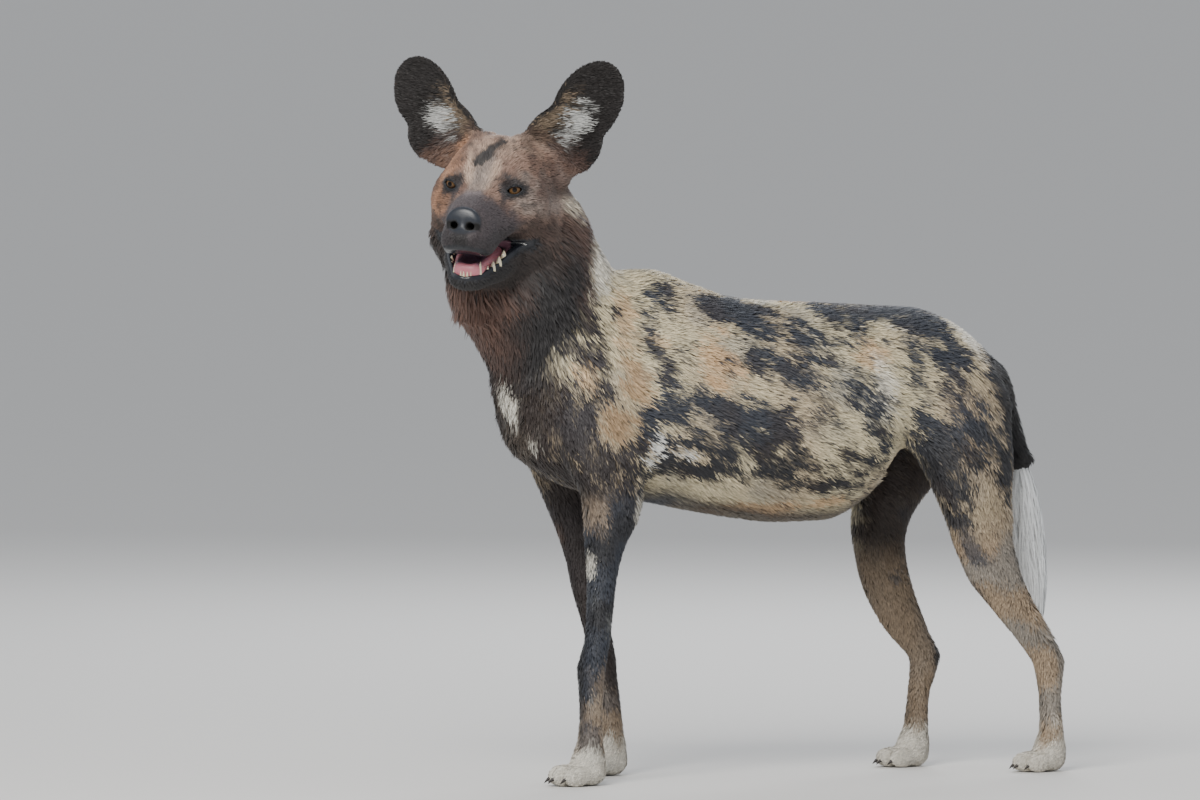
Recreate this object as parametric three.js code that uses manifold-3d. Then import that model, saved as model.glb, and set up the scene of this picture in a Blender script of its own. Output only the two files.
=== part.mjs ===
// An African wild dog, standing, as a still, life-size museum model.
// Millimetres, +Z up. The dog faces -X, its left side is towards -Y, its feet stand on z = 0.
// The body is one flowing form told by cross-sections, parted by thin cuts into its named pieces.
import * as THREE from 'three';
import { mergeVertices } from 'three/addons/utils/BufferGeometryUtils.js';
import Module from 'manifold-3d';

const wasm = await Module();
wasm.setup();

// Sizes of the animal.
const WITHERS = 655;            // height of the back at the shoulders
const GAP = 0.3;                // width of every parting cut
const PLACE_X = 46;             // moves the trunk so that the middle of the whole body is over the origin
const PLACE_Y = 34;
const HEAD_AT = [-422, -100, 771];   // the head's own origin, between and just over the eyes
const HEAD_TURN = 53;           // degrees that the head is turned to the dog's left
const HEAD_DOWN = 5;            // degrees that the face points down
const HEAD_LEAN = 4.5;          // degrees that the head leans to its left
const EYE_RADIUS = 12;
const EYE_SPREAD = 42.5;        // from the middle of the face to the middle of a cornea
const EYE_LEVEL = -5;           // height of the eyes over the head's own middle
const EYE_OUT = 20;             // degrees that each eye looks outwards
const EAR_LEAN = { left: 28, right: 30 };    // degrees that each ear leans outwards
const EAR_REACH = { left: 1.03, right: 0.92 };  // the right ear is turned back a little and looks shorter
const PAW_TOP = 46;             // height of the cut above each paw

// Small helpers.
const radians = (degrees) => degrees * Math.PI / 180;
const clamp = (v, lo, hi) => Math.min(hi, Math.max(lo, v));
const add = (a, b) => [a[0] + b[0], a[1] + b[1], a[2] + b[2]];
const sub = (a, b) => [a[0] - b[0], a[1] - b[1], a[2] - b[2]];
const times = (a, k) => [a[0] * k, a[1] * k, a[2] * k];
const dot = (a, b) => a[0] * b[0] + a[1] * b[1] + a[2] * b[2];
const cross = (a, b) => [a[1] * b[2] - a[2] * b[1], a[2] * b[0] - a[0] * b[2], a[0] * b[1] - a[1] * b[0]];
const length = (a) => Math.hypot(a[0], a[1], a[2]);
const unit = (a) => times(a, 1 / length(a));

// Joins two distances with a soft fillet of width k.
const blend = (a, b, k) => {
  const h = Math.max(k - Math.abs(a - b), 0);
  return Math.min(a, b) - h * h / (4 * k);
};
const carve = (a, b, k) => -blend(-a, b, k);      // takes b out of a
const within = (a, b, k) => -blend(-a, -b, k);    // keeps what is in both

// A smooth curve through the values given at the keys, without overshoot.
function curve(keys, values) {
  const n = keys.length;
  const slope = [];
  const tangent = [];
  for (let i = 0; i < n - 1; i += 1) {
    slope.push((values[i + 1] - values[i]) / (keys[i + 1] - keys[i]));
  }
  for (let i = 0; i < n; i += 1) {
    const before = slope[Math.max(i - 1, 0)];
    const after = slope[Math.min(i, n - 2)];
    const flat = before * after <= 0;
    tangent.push(flat ? 0 : 2 * before * after / (before + after));
  }
  return (t) => {
    const key = clamp(t, keys[0], keys[n - 1]);
    let i = 0;
    while (i < n - 2 && key > keys[i + 1]) i += 1;
    const h = keys[i + 1] - keys[i];
    const s = (key - keys[i]) / h;
    const rise = s * s * (3 - 2 * s);
    const first = s * (1 - s) * (1 - s) * h;
    const last = s * s * (s - 1) * h;
    return values[i] * (1 - rise) + values[i + 1] * rise + first * tangent[i] + last * tangent[i + 1];
  };
}

// Distance to a flat oval section: u across, v upwards, egg > 0 narrows the top, power > 2 squares it.
function section(u, v, acrossRadius, upRadius, egg, power) {
  const width = acrossRadius * (1 - egg * clamp(v / upRadius, -1, 1));
  const a = Math.abs(u / width);
  const b = Math.abs(v / upRadius);
  const k = (a ** power + b ** power) ** (1 / power);
  if (k < 1e-4) return -Math.min(width, upRadius);
  const ga = (a / k) ** (power - 1) / width;
  const gb = (b / k) ** (power - 1) / upRadius;
  return (k - 1) / Math.hypot(ga, gb);
}

// A form along one axis. Each row is [place, low, high, middle across, half width, egg].
function tube(axis, across, up, power, rows) {
  const keys = rows.map((row) => row[0]);
  const [low, high, middle, half, egg] = [1, 2, 3, 4, 5].map((c) => curve(keys, rows.map((row) => row[c] ?? 0)));
  const first = keys[0];
  const last = keys[keys.length - 1];
  return (p) => {
    const t = p[axis];
    const top = high(t);
    const bottom = low(t);
    const d = section(p[across] - middle(t), p[up] - (top + bottom) / 2, half(t), (top - bottom) / 2, egg(t), power);
    return within(d, Math.max(first - t, t - last), 8);
  };
}

// An ellipsoid.
const blob = (centre, radii) => (p) => {
  const q = sub(p, centre);
  const k = Math.hypot(q[0] / radii[0], q[1] / radii[1], q[2] / radii[2]);
  if (k < 1e-4) return -Math.min(...radii);
  return (k - 1) * k / Math.hypot(q[0] / radii[0] ** 2, q[1] / radii[1] ** 2, q[2] / radii[2] ** 2);
};

// A round bar from a to b whose radius runs from ra to rb.
const bar = (a, b, ra, rb) => (p) => {
  const along = sub(b, a);
  const t = clamp(dot(sub(p, a), along) / dot(along, along), 0, 1);
  return length(sub(sub(p, a), times(along, t))) - (ra + (rb - ra) * t);
};

const blendAll = (forms, k) => (p) => forms.reduce((d, form) => blend(d, form(p), k), 1e3);
const mirrored = (make) => [make(1), make(-1)];

// The trunk.
// [x, belly, back, middle, half width, egg]
const trunk = tube(0, 1, 2, 2.2, [
  [-352, 458, 502, 0, 22, 0],
  [-338, 424, 540, 0, 50, 0],
  [-305, 396, 590, 0, 78, 0.05],
  [-255, 372, 632, 0, 93, 0.15],
  [-205, 360, WITHERS - 2, 0, 99, 0.25],
  [-159, 354, WITHERS, 0, 102, 0.28],
  [-100, 342, 636, 0, 105, 0.22],
  [-40, 331, 617, 0, 109, 0.16],
  [20, 324, 611, 0, 111, 0.12],
  [80, 325, 608, 0, 108, 0.1],
  [130, 350, 605, 0, 100, 0.06],
  [176, 408, 602, 0, 90, 0.02],
  [210, 428, 600, 0, 86, 0.05],
  [255, 430, 584, 0, 78, 0.08],
  [297, 430, 554, 0, 62, 0.1],
  [328, 436, 522, 0, 42, 0],
  [346, 455, 495, 0, 20, 0],
]);

// The neck with its ruff.
// [z, near edge y, far edge y, middle x, half length along x]
const neck = tube(2, 0, 1, 2, [
  [440, -60, 60, -275, 40],
  [480, -80, 78, -280, 72],
  [520, -88, 84, -278, 90],
  [565, -94, 78, -290, 103],
  [617, -100, 60, -319, 115],
  [660, -101, 48, -332, 112],
  [690, -99, 40, -339, 103],
  [730, -93, 32, -345, 91],
  [765, -86, 22, -350, 76],
  [800, -76, -10, -356, 40],
]);

// The limbs.
// [z, inner/outer edges as y for a leg on the right side, middle x, half length along x]
const limb = (side, rows) => {
  const right = tube(2, 0, 1, 2.1, rows);
  return (p) => right([p[0], p[1] * side, p[2]]);
};
const foreNear = limb(-1, [
  [30, 55, 95, -266, 18],
  [60, 57, 93, -265, 15.5],
  [90, 58, 92, -264, 14.5],
  [125, 57, 93, -264, 16],
  [147, 56, 95, -264, 18.5],
  [165, 57, 95, -260, 17.5],
  [193, 59, 95, -255, 16.5],
  [235, 58, 97, -252, 18],
  [277, 55, 100, -249, 23],
  [311, 52, 104, -245, 30],
  [340, 50, 108, -238, 38],
  [365, 48, 110, -236, 42],
  [400, 46, 112, -244, 50],
  [440, 42, 108, -250, 58],
  [480, 42, 100, -252, 56],
  [520, 44, 90, -250, 44],
  [555, 50, 76, -246, 24],
]);
const foreFar = limb(1, [
  [30, 55, 95, -176, 18],
  [60, 57, 93, -176, 15.5],
  [90, 58, 92, -178, 14.5],
  [125, 57, 93, -184, 16],
  [147, 56, 95, -188, 18.5],
  [165, 57, 95, -190, 17.5],
  [193, 59, 95, -196, 17.5],
  [235, 58, 97, -206, 21],
  [277, 55, 100, -213, 25],
  [311, 52, 104, -218, 31],
  [340, 50, 108, -222, 38],
  [365, 48, 110, -228, 43],
  [400, 46, 112, -238, 50],
  [440, 42, 108, -246, 58],
  [480, 42, 100, -250, 56],
  [520, 44, 90, -250, 44],
  [555, 50, 76, -246, 24],
]);
const hindNear = limb(-1, [
  [24, 52, 92, 378, 17],
  [50, 55, 90, 377, 15],
  [90, 56, 90, 375, 14],
  [118, 56, 91, 374, 17],
  [138, 56, 92, 373, 21],
  [158, 57, 91, 363, 24],
  [173, 57, 91, 352, 25],
  [199, 57, 92, 332, 28],
  [224, 56, 95, 314, 32],
  [250, 54, 99, 297, 38],
  [276, 52, 104, 286, 41],
  [301, 49, 109, 277, 43],
  [327, 46, 112, 273, 47],
  [353, 42, 114, 266, 51],
  [379, 36, 114, 262, 58],
  [405, 30, 112, 257, 66],
  [431, 22, 106, 250, 74],
  [470, 18, 98, 252, 74],
  [510, 20, 84, 252, 56],
  [545, 26, 66, 250, 28],
]);
const hindFar = limb(1, [
  [24, 50, 90, 247, 17],
  [50, 52, 88, 248, 15],
  [90, 53, 87, 251, 14],
  [118, 53, 88, 257, 17],
  [140, 53, 90, 261, 21],
  [158, 54, 89, 250, 25],
  [173, 55, 90, 239, 28],
  [199, 55, 93, 225, 32],
  [224, 54, 98, 214, 34],
  [250, 52, 103, 206, 35],
  [276, 49, 108, 201, 36],
  [301, 46, 112, 199, 38],
  [327, 42, 114, 203, 42],
  [353, 36, 114, 212, 50],
  [379, 30, 112, 224, 60],
  [405, 24, 108, 236, 68],
  [440, 18, 104, 244, 72],
  [480, 18, 96, 250, 70],
  [515, 20, 82, 252, 52],
  [545, 26, 66, 250, 28],
]);

// A paw with its four toes, pointing to -X; the middle toes reach furthest.
function paw(x, y, size) {
  const toes = [-1.5, -0.5, 0.5, 1.5].map((place) => {
    const reach = Math.abs(place) < 1 ? 31 : 20;
    const at = [x - reach * size, y + place * 13.5 * size, 13 * size];
    return blob(at, [17 * size, 8.2 * size, 13.8 * size]);
  });
  const heel = blob([x + 2 * size, y, 17 * size], [25 * size, 25 * size, 19 * size]);
  const root = blob([x + 4 * size, y, 32 * size], [20 * size, 19 * size, 22 * size]);
  return blendAll([...toes, blendAll([heel, root], 10)], 6);
}
const PAWS = {
  fore_left: [-272, -75, 1],
  fore_right: [-182, 75, 1],
  hind_left: [370, -72, 0.93],
  hind_right: [239, 70, 0.93],
};
const paws = Object.values(PAWS).map(([x, y, size]) => paw(x, y, size));

// The tail. Its white brush has a thin core under the locks.
const BRUSH_CORE = 11;          // how far the brush's core lies inside the tips of its locks
const tailCore = bar([318, 0, 500], [361, 0, 400], 30, 18);
const tailBrush = tube(2, 0, 1, 2, [
  [168, -4, 4, 383, 4],
  [180, -10, 10, 382, 10],
  [205, -18, 18, 380, 18],
  [245, -25, 25, 375, 25],
  [285, -26, 26, 372, 26],
  [325, -24, 24, 369, 24],
  [365, -21, 21, 365, 21],
  [405, -19, 19, 361, 18],
]);

// The head, in its own frame: forwards, to the dog's left, upwards.
const turn = radians(HEAD_TURN);
const down = radians(HEAD_DOWN);
const lean = radians(HEAD_LEAN);
const FORWARD = [-Math.cos(turn) * Math.cos(down), -Math.sin(turn) * Math.cos(down), -Math.sin(down)];
const levelLeft = unit(cross([0, 0, 1], FORWARD));
const levelUp = cross(FORWARD, levelLeft);
const LEFT = sub(times(levelLeft, Math.cos(lean)), times(levelUp, Math.sin(lean)));
const UP = add(times(levelUp, Math.cos(lean)), times(levelLeft, Math.sin(lean)));
const toHead = (p) => {
  const q = sub(p, HEAD_AT);
  return [dot(q, FORWARD), dot(q, LEFT), dot(q, UP)];
};
const fromHead = (q) => add(HEAD_AT, add(times(FORWARD, q[0]), add(times(LEFT, q[1]), times(UP, q[2]))));

// [forwards, low, high, middle, half width, egg]
const skull = tube(0, 1, 2, 2.3, [
  [-152, -50, 12, 0, 30, 0],
  [-132, -72, 38, 0, 50, 0.1],
  [-105, -86, 54, 0, 62, 0.15],
  [-80, -92, 58, 0, 68, 0.2],
  [-58, -88, 53, 0, 71, 0.22],
  [-38, -80, 43, 0, 69, 0.22],
  [-20, -72, 30, 0, 63, 0.2],
  [-5, -69, 14, 0, 55, 0.2],
  [10, -76, 2, 0, 44, 0.2],
  [28, -81, -5, 0, 37, 0.18],
  [48, -86, -10, 0, 32, 0.15],
  [65, -85, -14, 0, 28, 0.12],
  [80, -78, -19, 0, 23.5, 0.1],
  [86, -73, -27, 0, 21, 0],
  [92, -67, -47, 0, 16, 0],
  [95, -63, -54, 0, 8, 0],
]);
const lowerJaw = tube(0, 1, 2, 2.2, [
  [-95, -110, -50, 0, 44, 0],
  [-60, -122, -56, 0, 54, 0],
  [-25, -129, -64, 0, 51, 0],
  [0, -131, -77, 0, 45, -0.1],
  [25, -131, -88, 0, 34, -0.1],
  [45, -130, -100, 0, 25.5, -0.05],
  [58, -128, -106, 0, 18.5, 0],
  [68, -122, -108, 0, 10, 0],
]);
const cheeks = mirrored((side) => blob([-50, side * 50, -30], [42, 26, 34]));
const chewing = mirrored((side) => blob([-64, side * 44, -62], [42, 37, 44]));
const flews = mirrored((side) => blob([50, side * 17, -68], [32, 15.5, 18]));
const brows = mirrored((side) => blob([-16, side * 35, 6], [19, 15, 8]));
const skullForm = blendAll([skull, blendAll(cheeks, 1), blendAll(brows, 1), blendAll(flews, 1)], 14);
const jawForm = blendAll([lowerJaw, blendAll(chewing, 1)], 14);

// The opening between the lips, as a wedge that closes at the corner of the mouth.
const MOUTH_CORNER = [-28, -75];
const upperLip = curve([-28, 5, 40, 62, 78, 95], [-72.5, -79, -85, -84, -78, -72]);
const lowerLip = curve([-28, -5, 25, 45, 55, 70], [-78, -85, -96, -103, -107, -110]);
const mouthWedge = (q) => Math.max(q[2] - upperLip(q[0]), lowerLip(q[0]) - q[2], MOUTH_CORNER[0] - q[0]);
const palate = tube(0, 1, 2, 2.4, [
  [-40, -80, -62, 0, 20, 0],
  [-15, -92, -58, 0, 34, 0],
  [10, -104, -60, 0, 36, 0],
  [35, -113, -64, 0, 26, 0],
  [55, -116, -68, 0, 17, 0],
  [66, -112, -72, 0, 8, 0],
]);

// The tongue lies in the lower jaw, hollow along its middle.
const tongueBody = tube(0, 1, 2, 2.2, [
  [-36, -94, -76, 0, 20, 0],
  [-18, -104, -79, 0, 28, 0],
  [10, -112, -84, 0, 27, 0],
  [32, -118, -87, 0, 22, 0],
  [48, -120, -90, 0, 19.5, 0],
  [59, -118, -96, 0, 14, 0],
]);
const tongueHollow = blob([26, 0, -81], [42, 16, 18]);
const tongueForm = (q) => carve(tongueBody(q), tongueHollow(q), 6);

// The eyes: each lies in a round bed under its lids, which part in an almond.
function eyeFrame(side) {
  const out = radians(EYE_OUT);
  const gaze = [Math.cos(out), side * Math.sin(out), 0];
  const outward = [-Math.sin(out), side * Math.cos(out), 0];
  const cornea = [0, side * EYE_SPREAD, EYE_LEVEL];
  return { gaze, outward, centre: sub(cornea, times(gaze, EYE_RADIUS)) };
}
const LID_RADIUS = 14.6;
const OPENING = { half: 10.5, high: 5.6, tilt: radians(8) };
function eyeOpening(side) {
  const { gaze, outward, centre } = eyeFrame(side);
  const bow = (OPENING.half ** 2 + OPENING.high ** 2) / (2 * OPENING.high);
  return (q) => {
    const r = sub(q, centre);
    const across = dot(r, outward) * Math.cos(OPENING.tilt) + r[2] * Math.sin(OPENING.tilt);
    const high = r[2] * Math.cos(OPENING.tilt) - dot(r, outward) * Math.sin(OPENING.tilt);
    const upper = Math.hypot(across, high + bow - OPENING.high) - bow;
    const lower = Math.hypot(across, high - bow + OPENING.high) - bow;
    return Math.max(upper, lower, 3 - dot(r, gaze));
  };
}
const lidBeds = mirrored((side) => blob(eyeFrame(side).centre, [LID_RADIUS, LID_RADIUS, LID_RADIUS]));
const eyeOpenings = mirrored(eyeOpening);

// The ears: thin cups with a broad round outline and a small pocket low on the outer edge.
const EAR = { base: [-88, 63, 33], thick: 3.4, cup: 20 };
function earFrame(side) {
  const tilt = radians(side > 0 ? EAR_LEAN.left : EAR_LEAN.right);
  const axis = unit([-0.03, side * Math.sin(tilt), Math.cos(tilt)]);
  const facing = unit([0.95, side * 0.3, 0.02]);
  const across = times(unit(cross(axis, facing)), side);
  const base = [EAR.base[0], side * EAR.base[1], EAR.base[2]];
  return { axis, across, facing: times(cross(axis, across), -side), base };
}
const ovalFlat = (u, v, ru, rv) => section(u, v, ru, rv, 0, 2);
function earOutline(along, across) {
  const leaf = ovalFlat(along - 77, across - 9, 59, 41);
  const foot = ovalFlat(along - 14, across - 3, 50, 44);
  const lobe = ovalFlat(along - 27, across - 20, 38, 34);
  const pocket = ovalFlat(along - 50, across - 60, 8, 8);
  return carve(blend(blend(leaf, foot, 10), lobe, 8), pocket, 3);
}
const earHollow = (along, across) => {
  const deep = EAR.cup * (1 - 0.55 * clamp(along / 134, 0, 1));
  return -deep * (1 - (across / 48) ** 2) + 5;
};
function ear(side) {
  const { axis, across, facing, base } = earFrame(side);
  const reach = side > 0 ? EAR_REACH.left : EAR_REACH.right;
  const canal = blob([10, 2, 6], [26, 17, 12]);
  const shell = (r) => {
    const sheet = Math.abs(r[2] - earHollow(r[0], r[1])) / 1.15 - (EAR.thick + 2 * clamp(1 - r[0] / 60, 0, 1));
    return within(sheet, earOutline(r[0], r[1]), 5);
  };
  const local = (q) => {
    const r = sub(q, base);
    return [dot(r, axis) / reach, dot(r, across), dot(r, facing)];
  };
  return { side, reach, local, axis, across, facing, base, shell: (q) => shell(local(q)), canal: (q) => canal(local(q)) };
}
const ears = mirrored(ear);

// The nose pad with its two comma-shaped nostrils and the groove below.
const pad = blob([84, 0, -38], [15, 23.5, 18.5]);
const nostrils = mirrored((side) => bar([99, side * 11, -41], [86, side * 25, -45], 5, 2.8));
const groove = bar([101, 0, -48], [95, 0, -74], 1.6, 1.6);
const noseForm = (q) => nostrils.reduce((d, hole) => carve(d, hole(q), 3), pad(q));

const headBare = (q) => blend(skullForm(q), jawForm(q), 10);
const headForm = (q) => {
  let d = headBare(q);
  for (const lids of lidBeds) d = blend(d, lids(q), 8);
  for (const one of ears) d = blend(d, one.shell(q), 12);
  for (const one of ears) d = carve(d, one.canal(q), 6);
  d = carve(d, mouthWedge(q), 2);
  d = carve(d, palate(q), 4);
  d = blend(d, tongueForm(q), 2);
  d = blend(d, noseForm(q), 3);
  for (const opening of eyeOpenings) d = carve(d, opening(q), 1.5);
  d = carve(d, groove(q), 2);
  return d;
};

// The whole body.
const limbs = [foreNear, foreFar, hindNear, hindFar];
const bodyForm = (p) => {
  let d = blend(trunk(p), neck(p), 36);
  for (const one of limbs) d = blend(d, one(p), 22);
  for (const one of paws) d = blend(d, one(p), 8);
  d = blend(d, tailCore(p), 16);
  d = blend(d, tailBrush(p), 6);
  return Math.max(d, -p[2]);
};
const wholeForm = (p) => {
  const body = bodyForm(p);
  const q = toHead(p);
  if (length(q) > 340) return body;
  return blend(body, headForm(q), 20 * clamp(1 - (q[0] + 60) / 60, 0.02, 1));
};

// Turning a form into a faceted solid.
// Samples the form on a grid in a frame of its own and joins one point for each crossed cell.
function skin(form, frame, low, high, step) {
  const count = [0, 1, 2].map((i) => Math.ceil((high[i] - low[i]) / step) + 1);
  const place = (i, j, k) => frame([low[0] + i * step, low[1] + j * step, low[2] + k * step]);
  const index = (i, j, k) => (i * count[1] + j) * count[2] + k;
  const value = new Float64Array(count[0] * count[1] * count[2]);
  for (let i = 0; i < count[0]; i += 1) {
    for (let j = 0; j < count[1]; j += 1) {
      for (let k = 0; k < count[2]; k += 1) {
        const rim = i === 0 || j === 0 || k === 0 || i === count[0] - 1 || j === count[1] - 1 || k === count[2] - 1;
        value[index(i, j, k)] = rim ? step : form(place(i, j, k));
      }
    }
  }
  settle(value, count, index);
  const cellPoint = new Map();
  const points = [];
  const edges = [];
  const corners = [0, 1].flatMap((a) => [0, 1].flatMap((b) => [0, 1].map((c) => [a, b, c])));
  for (const from of corners) {
    for (let axis = 0; axis < 3; axis += 1) {
      if (from[axis]) continue;
      const to = [...from];
      to[axis] = 1;
      edges.push([from, to]);
    }
  }
  for (let i = 0; i < count[0] - 1; i += 1) {
    for (let j = 0; j < count[1] - 1; j += 1) {
      for (let k = 0; k < count[2] - 1; k += 1) {
        let sum = [0, 0, 0];
        let hits = 0;
        for (const [from, to] of edges) {
          const a = value[index(i + from[0], j + from[1], k + from[2])];
          const b = value[index(i + to[0], j + to[1], k + to[2])];
          if ((a < 0) === (b < 0)) continue;
          const t = a / (a - b);
          sum = add(sum, [i + from[0] + (to[0] - from[0]) * t, j + from[1] + (to[1] - from[1]) * t, k + from[2] + (to[2] - from[2]) * t]);
          hits += 1;
        }
        if (!hits) continue;
        cellPoint.set(index(i, j, k), points.length);
        points.push(place(...times(sum, 1 / hits)));
      }
    }
  }
  const origin = frame(low);
  const [dx, dy, dz] = [[1, 0, 0], [0, 1, 0], [0, 0, 1]].map((d) => sub(frame(add(low, d)), origin));
  const handed = dot(cross(dx, dy), dz) < 0;
  const triangles = [];
  for (let i = 0; i < count[0] - 1; i += 1) {
    for (let j = 0; j < count[1] - 1; j += 1) {
      for (let k = 0; k < count[2] - 1; k += 1) {
        const here = value[index(i, j, k)] < 0;
        for (let axis = 0; axis < 3; axis += 1) {
          const next = [i, j, k];
          next[axis] += 1;
          if ((value[index(...next)] < 0) === here) continue;
          const one = [0, 0, 0];
          const two = [0, 0, 0];
          one[(axis + 1) % 3] = 1;
          two[(axis + 2) % 3] = 1;
          const around = [
            [i - one[0] - two[0], j - one[1] - two[1], k - one[2] - two[2]],
            [i - two[0], j - two[1], k - two[2]],
            [i, j, k],
            [i - one[0], j - one[1], k - one[2]],
          ].map((cell) => cellPoint.get(index(...cell)));
          if (here === handed) around.reverse();
          const [a, b, c, d] = around;
          const flat = length(sub(points[a], points[c])) < length(sub(points[b], points[d]));
          triangles.push(...(flat ? [[a, b, c], [a, c, d]] : [[a, b, d], [b, c, d]]));
        }
      }
    }
  }
  return { points, triangles };
}

// Removes chequered squares of the grid, which would pinch the surface.
function settle(value, count, index) {
  for (;;) {
    let changed = false;
    for (let i = 0; i < count[0] - 1; i += 1) {
      for (let j = 0; j < count[1] - 1; j += 1) {
        for (let k = 0; k < count[2] - 1; k += 1) {
          for (const [u, v] of [[[1, 0, 0], [0, 1, 0]], [[1, 0, 0], [0, 0, 1]], [[0, 1, 0], [0, 0, 1]]]) {
            const a = index(i, j, k);
            const b = index(i + u[0], j + u[1], k + u[2]);
            const c = index(i + u[0] + v[0], j + u[1] + v[1], k + u[2] + v[2]);
            const d = index(i + v[0], j + v[1], k + v[2]);
            const inside = [a, b, c, d].map((at) => value[at] < 0);
            if (inside[0] !== inside[2] || inside[1] !== inside[3] || inside[0] === inside[1]) continue;
            const [one, two] = inside[0] ? [a, c] : [b, d];
            value[value[one] > value[two] ? one : two] = 1e-3;
            changed = true;
          }
        }
      }
    }
    if (!changed) return;
  }
}

const SLIVER = 0.02;
// Collapses the least telling edges until only the wanted number of facets is left.
// Facets smaller than a sliver may turn over as they vanish.
// With a reach, only edges shorter than that are collapsed.
function simplify({ points, triangles }, wanted, reach = Infinity) {
  const faces = triangles.map((face) => [...face]);
  const around = points.map(() => new Set());
  faces.forEach((face, f) => face.forEach((v) => around[v].add(f)));
  const quadric = points.map(() => new Float64Array(10));
  const alive = new Uint8Array(faces.length).fill(1);
  const stamp = new Uint32Array(points.length);
  const planeOf = (a, b, c) => {
    const n = cross(sub(b, a), sub(c, a));
    const size = length(n);
    return size < 1e-9 ? null : { n: times(n, 1 / size), area: size / 2 };
  };
  faces.forEach((face) => {
    const plane = planeOf(...face.map((v) => points[v]));
    if (!plane) return;
    const [a, b, c] = plane.n;
    const d = -dot(plane.n, points[face[0]]);
    const terms = [a * a, a * b, a * c, a * d, b * b, b * c, b * d, c * c, c * d, d * d];
    for (const v of face) terms.forEach((term, i) => { quadric[v][i] += term * plane.area; });
  });
  const cost = (m, p) => m[0] * p[0] * p[0] + 2 * m[1] * p[0] * p[1] + 2 * m[2] * p[0] * p[2] + 2 * m[3] * p[0]
    + m[4] * p[1] * p[1] + 2 * m[5] * p[1] * p[2] + 2 * m[6] * p[1] + m[7] * p[2] * p[2] + 2 * m[8] * p[2] + m[9];
  const best = (u, v) => {
    const m = quadric[u].map((q, i) => q + quadric[v][i]);
    const middle = times(add(points[u], points[v]), 0.5);
    const rows = [[m[0], m[1], m[2]], [m[1], m[4], m[5]], [m[2], m[5], m[7]]];
    const det = dot(rows[0], cross(rows[1], rows[2]));
    const scale = m[0] + m[4] + m[7];
    const tries = [middle, points[u], points[v]];
    if (Math.abs(det) > 1e-4 * scale ** 3) {
      const right = [-m[3], -m[6], -m[8]];
      const solved = times(add(add(times(cross(rows[1], rows[2]), right[0]), times(cross(rows[2], rows[0]), right[1])),
        times(cross(rows[0], rows[1]), right[2])), 1 / det);
      if (length(sub(solved, middle)) < 2 * length(sub(points[u], points[v]))) tries.push(solved);
    }
    const found = tries.map((p) => [cost(m, p), p]).sort((a, b) => a[0] - b[0])[0];
    return { price: Math.max(found[0], 0) + 1e-4 * length(sub(points[u], points[v])) ** 3, point: found[1] };
  };
  const heap = [];
  const push = (u, v) => {
    if (length(sub(points[u], points[v])) > reach) return;
    const { price, point } = best(u, v);
    heap.push({ price, point, u, v, su: stamp[u], sv: stamp[v] });
    let i = heap.length - 1;
    while (i > 0) {
      const parent = (i - 1) >> 1;
      if (heap[parent].price <= heap[i].price) break;
      [heap[parent], heap[i]] = [heap[i], heap[parent]];
      i = parent;
    }
  };
  const pop = () => {
    const top = heap[0];
    const last = heap.pop();
    if (heap.length) {
      heap[0] = last;
      let i = 0;
      for (;;) {
        const l = 2 * i + 1;
        const r = l + 1;
        let least = i;
        if (l < heap.length && heap[l].price < heap[least].price) least = l;
        if (r < heap.length && heap[r].price < heap[least].price) least = r;
        if (least === i) break;
        [heap[least], heap[i]] = [heap[i], heap[least]];
        i = least;
      }
    }
    return top;
  };
  const near = (v) => new Set([...around[v]].flatMap((f) => faces[f]).filter((w) => w !== v));
  const seen = new Set();
  faces.forEach((face) => face.forEach((u, i) => {
    const v = face[(i + 1) % 3];
    const key = Math.min(u, v) * points.length + Math.max(u, v);
    if (seen.has(key)) return;
    seen.add(key);
    push(u, v);
  }));
  let left = faces.length;
  while (left > wanted && heap.length) {
    const { u, v, su, sv, point } = pop();
    if (stamp[u] !== su || stamp[v] !== sv) continue;
    const nu = near(u);
    const nv = near(v);
    const shared = [...nu].filter((w) => nv.has(w));
    const edgeFaces = [...around[u]].filter((f) => around[v].has(f));
    if (shared.length !== 2 || edgeFaces.length !== 2) continue;
    const flips = [[u, around[u]], [v, around[v]]].some(([w, set]) => [...set].some((f) => {
      if (edgeFaces.includes(f)) return false;
      const before = planeOf(...faces[f].map((x) => points[x]));
      const after = planeOf(...faces[f].map((x) => (x === w ? point : points[x])));
      return !after || (before && before.area > SLIVER && dot(before.n, after.n) < 0.25);
    }));
    if (flips) continue;
    for (const f of edgeFaces) {
      alive[f] = 0;
      left -= 1;
      faces[f].forEach((w) => around[w].delete(f));
    }
    for (const f of around[v]) {
      faces[f] = faces[f].map((w) => (w === v ? u : w));
      around[u].add(f);
    }
    around[v] = new Set();
    points[u] = point;
    quadric[v].forEach((q, i) => { quadric[u][i] += q; });
    stamp[v] += 1e6;
    stamp[u] += 1;
    for (const w of near(u)) push(u, w);
  }
  return { points, triangles: faces.filter((face, f) => alive[f]) };
}

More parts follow.
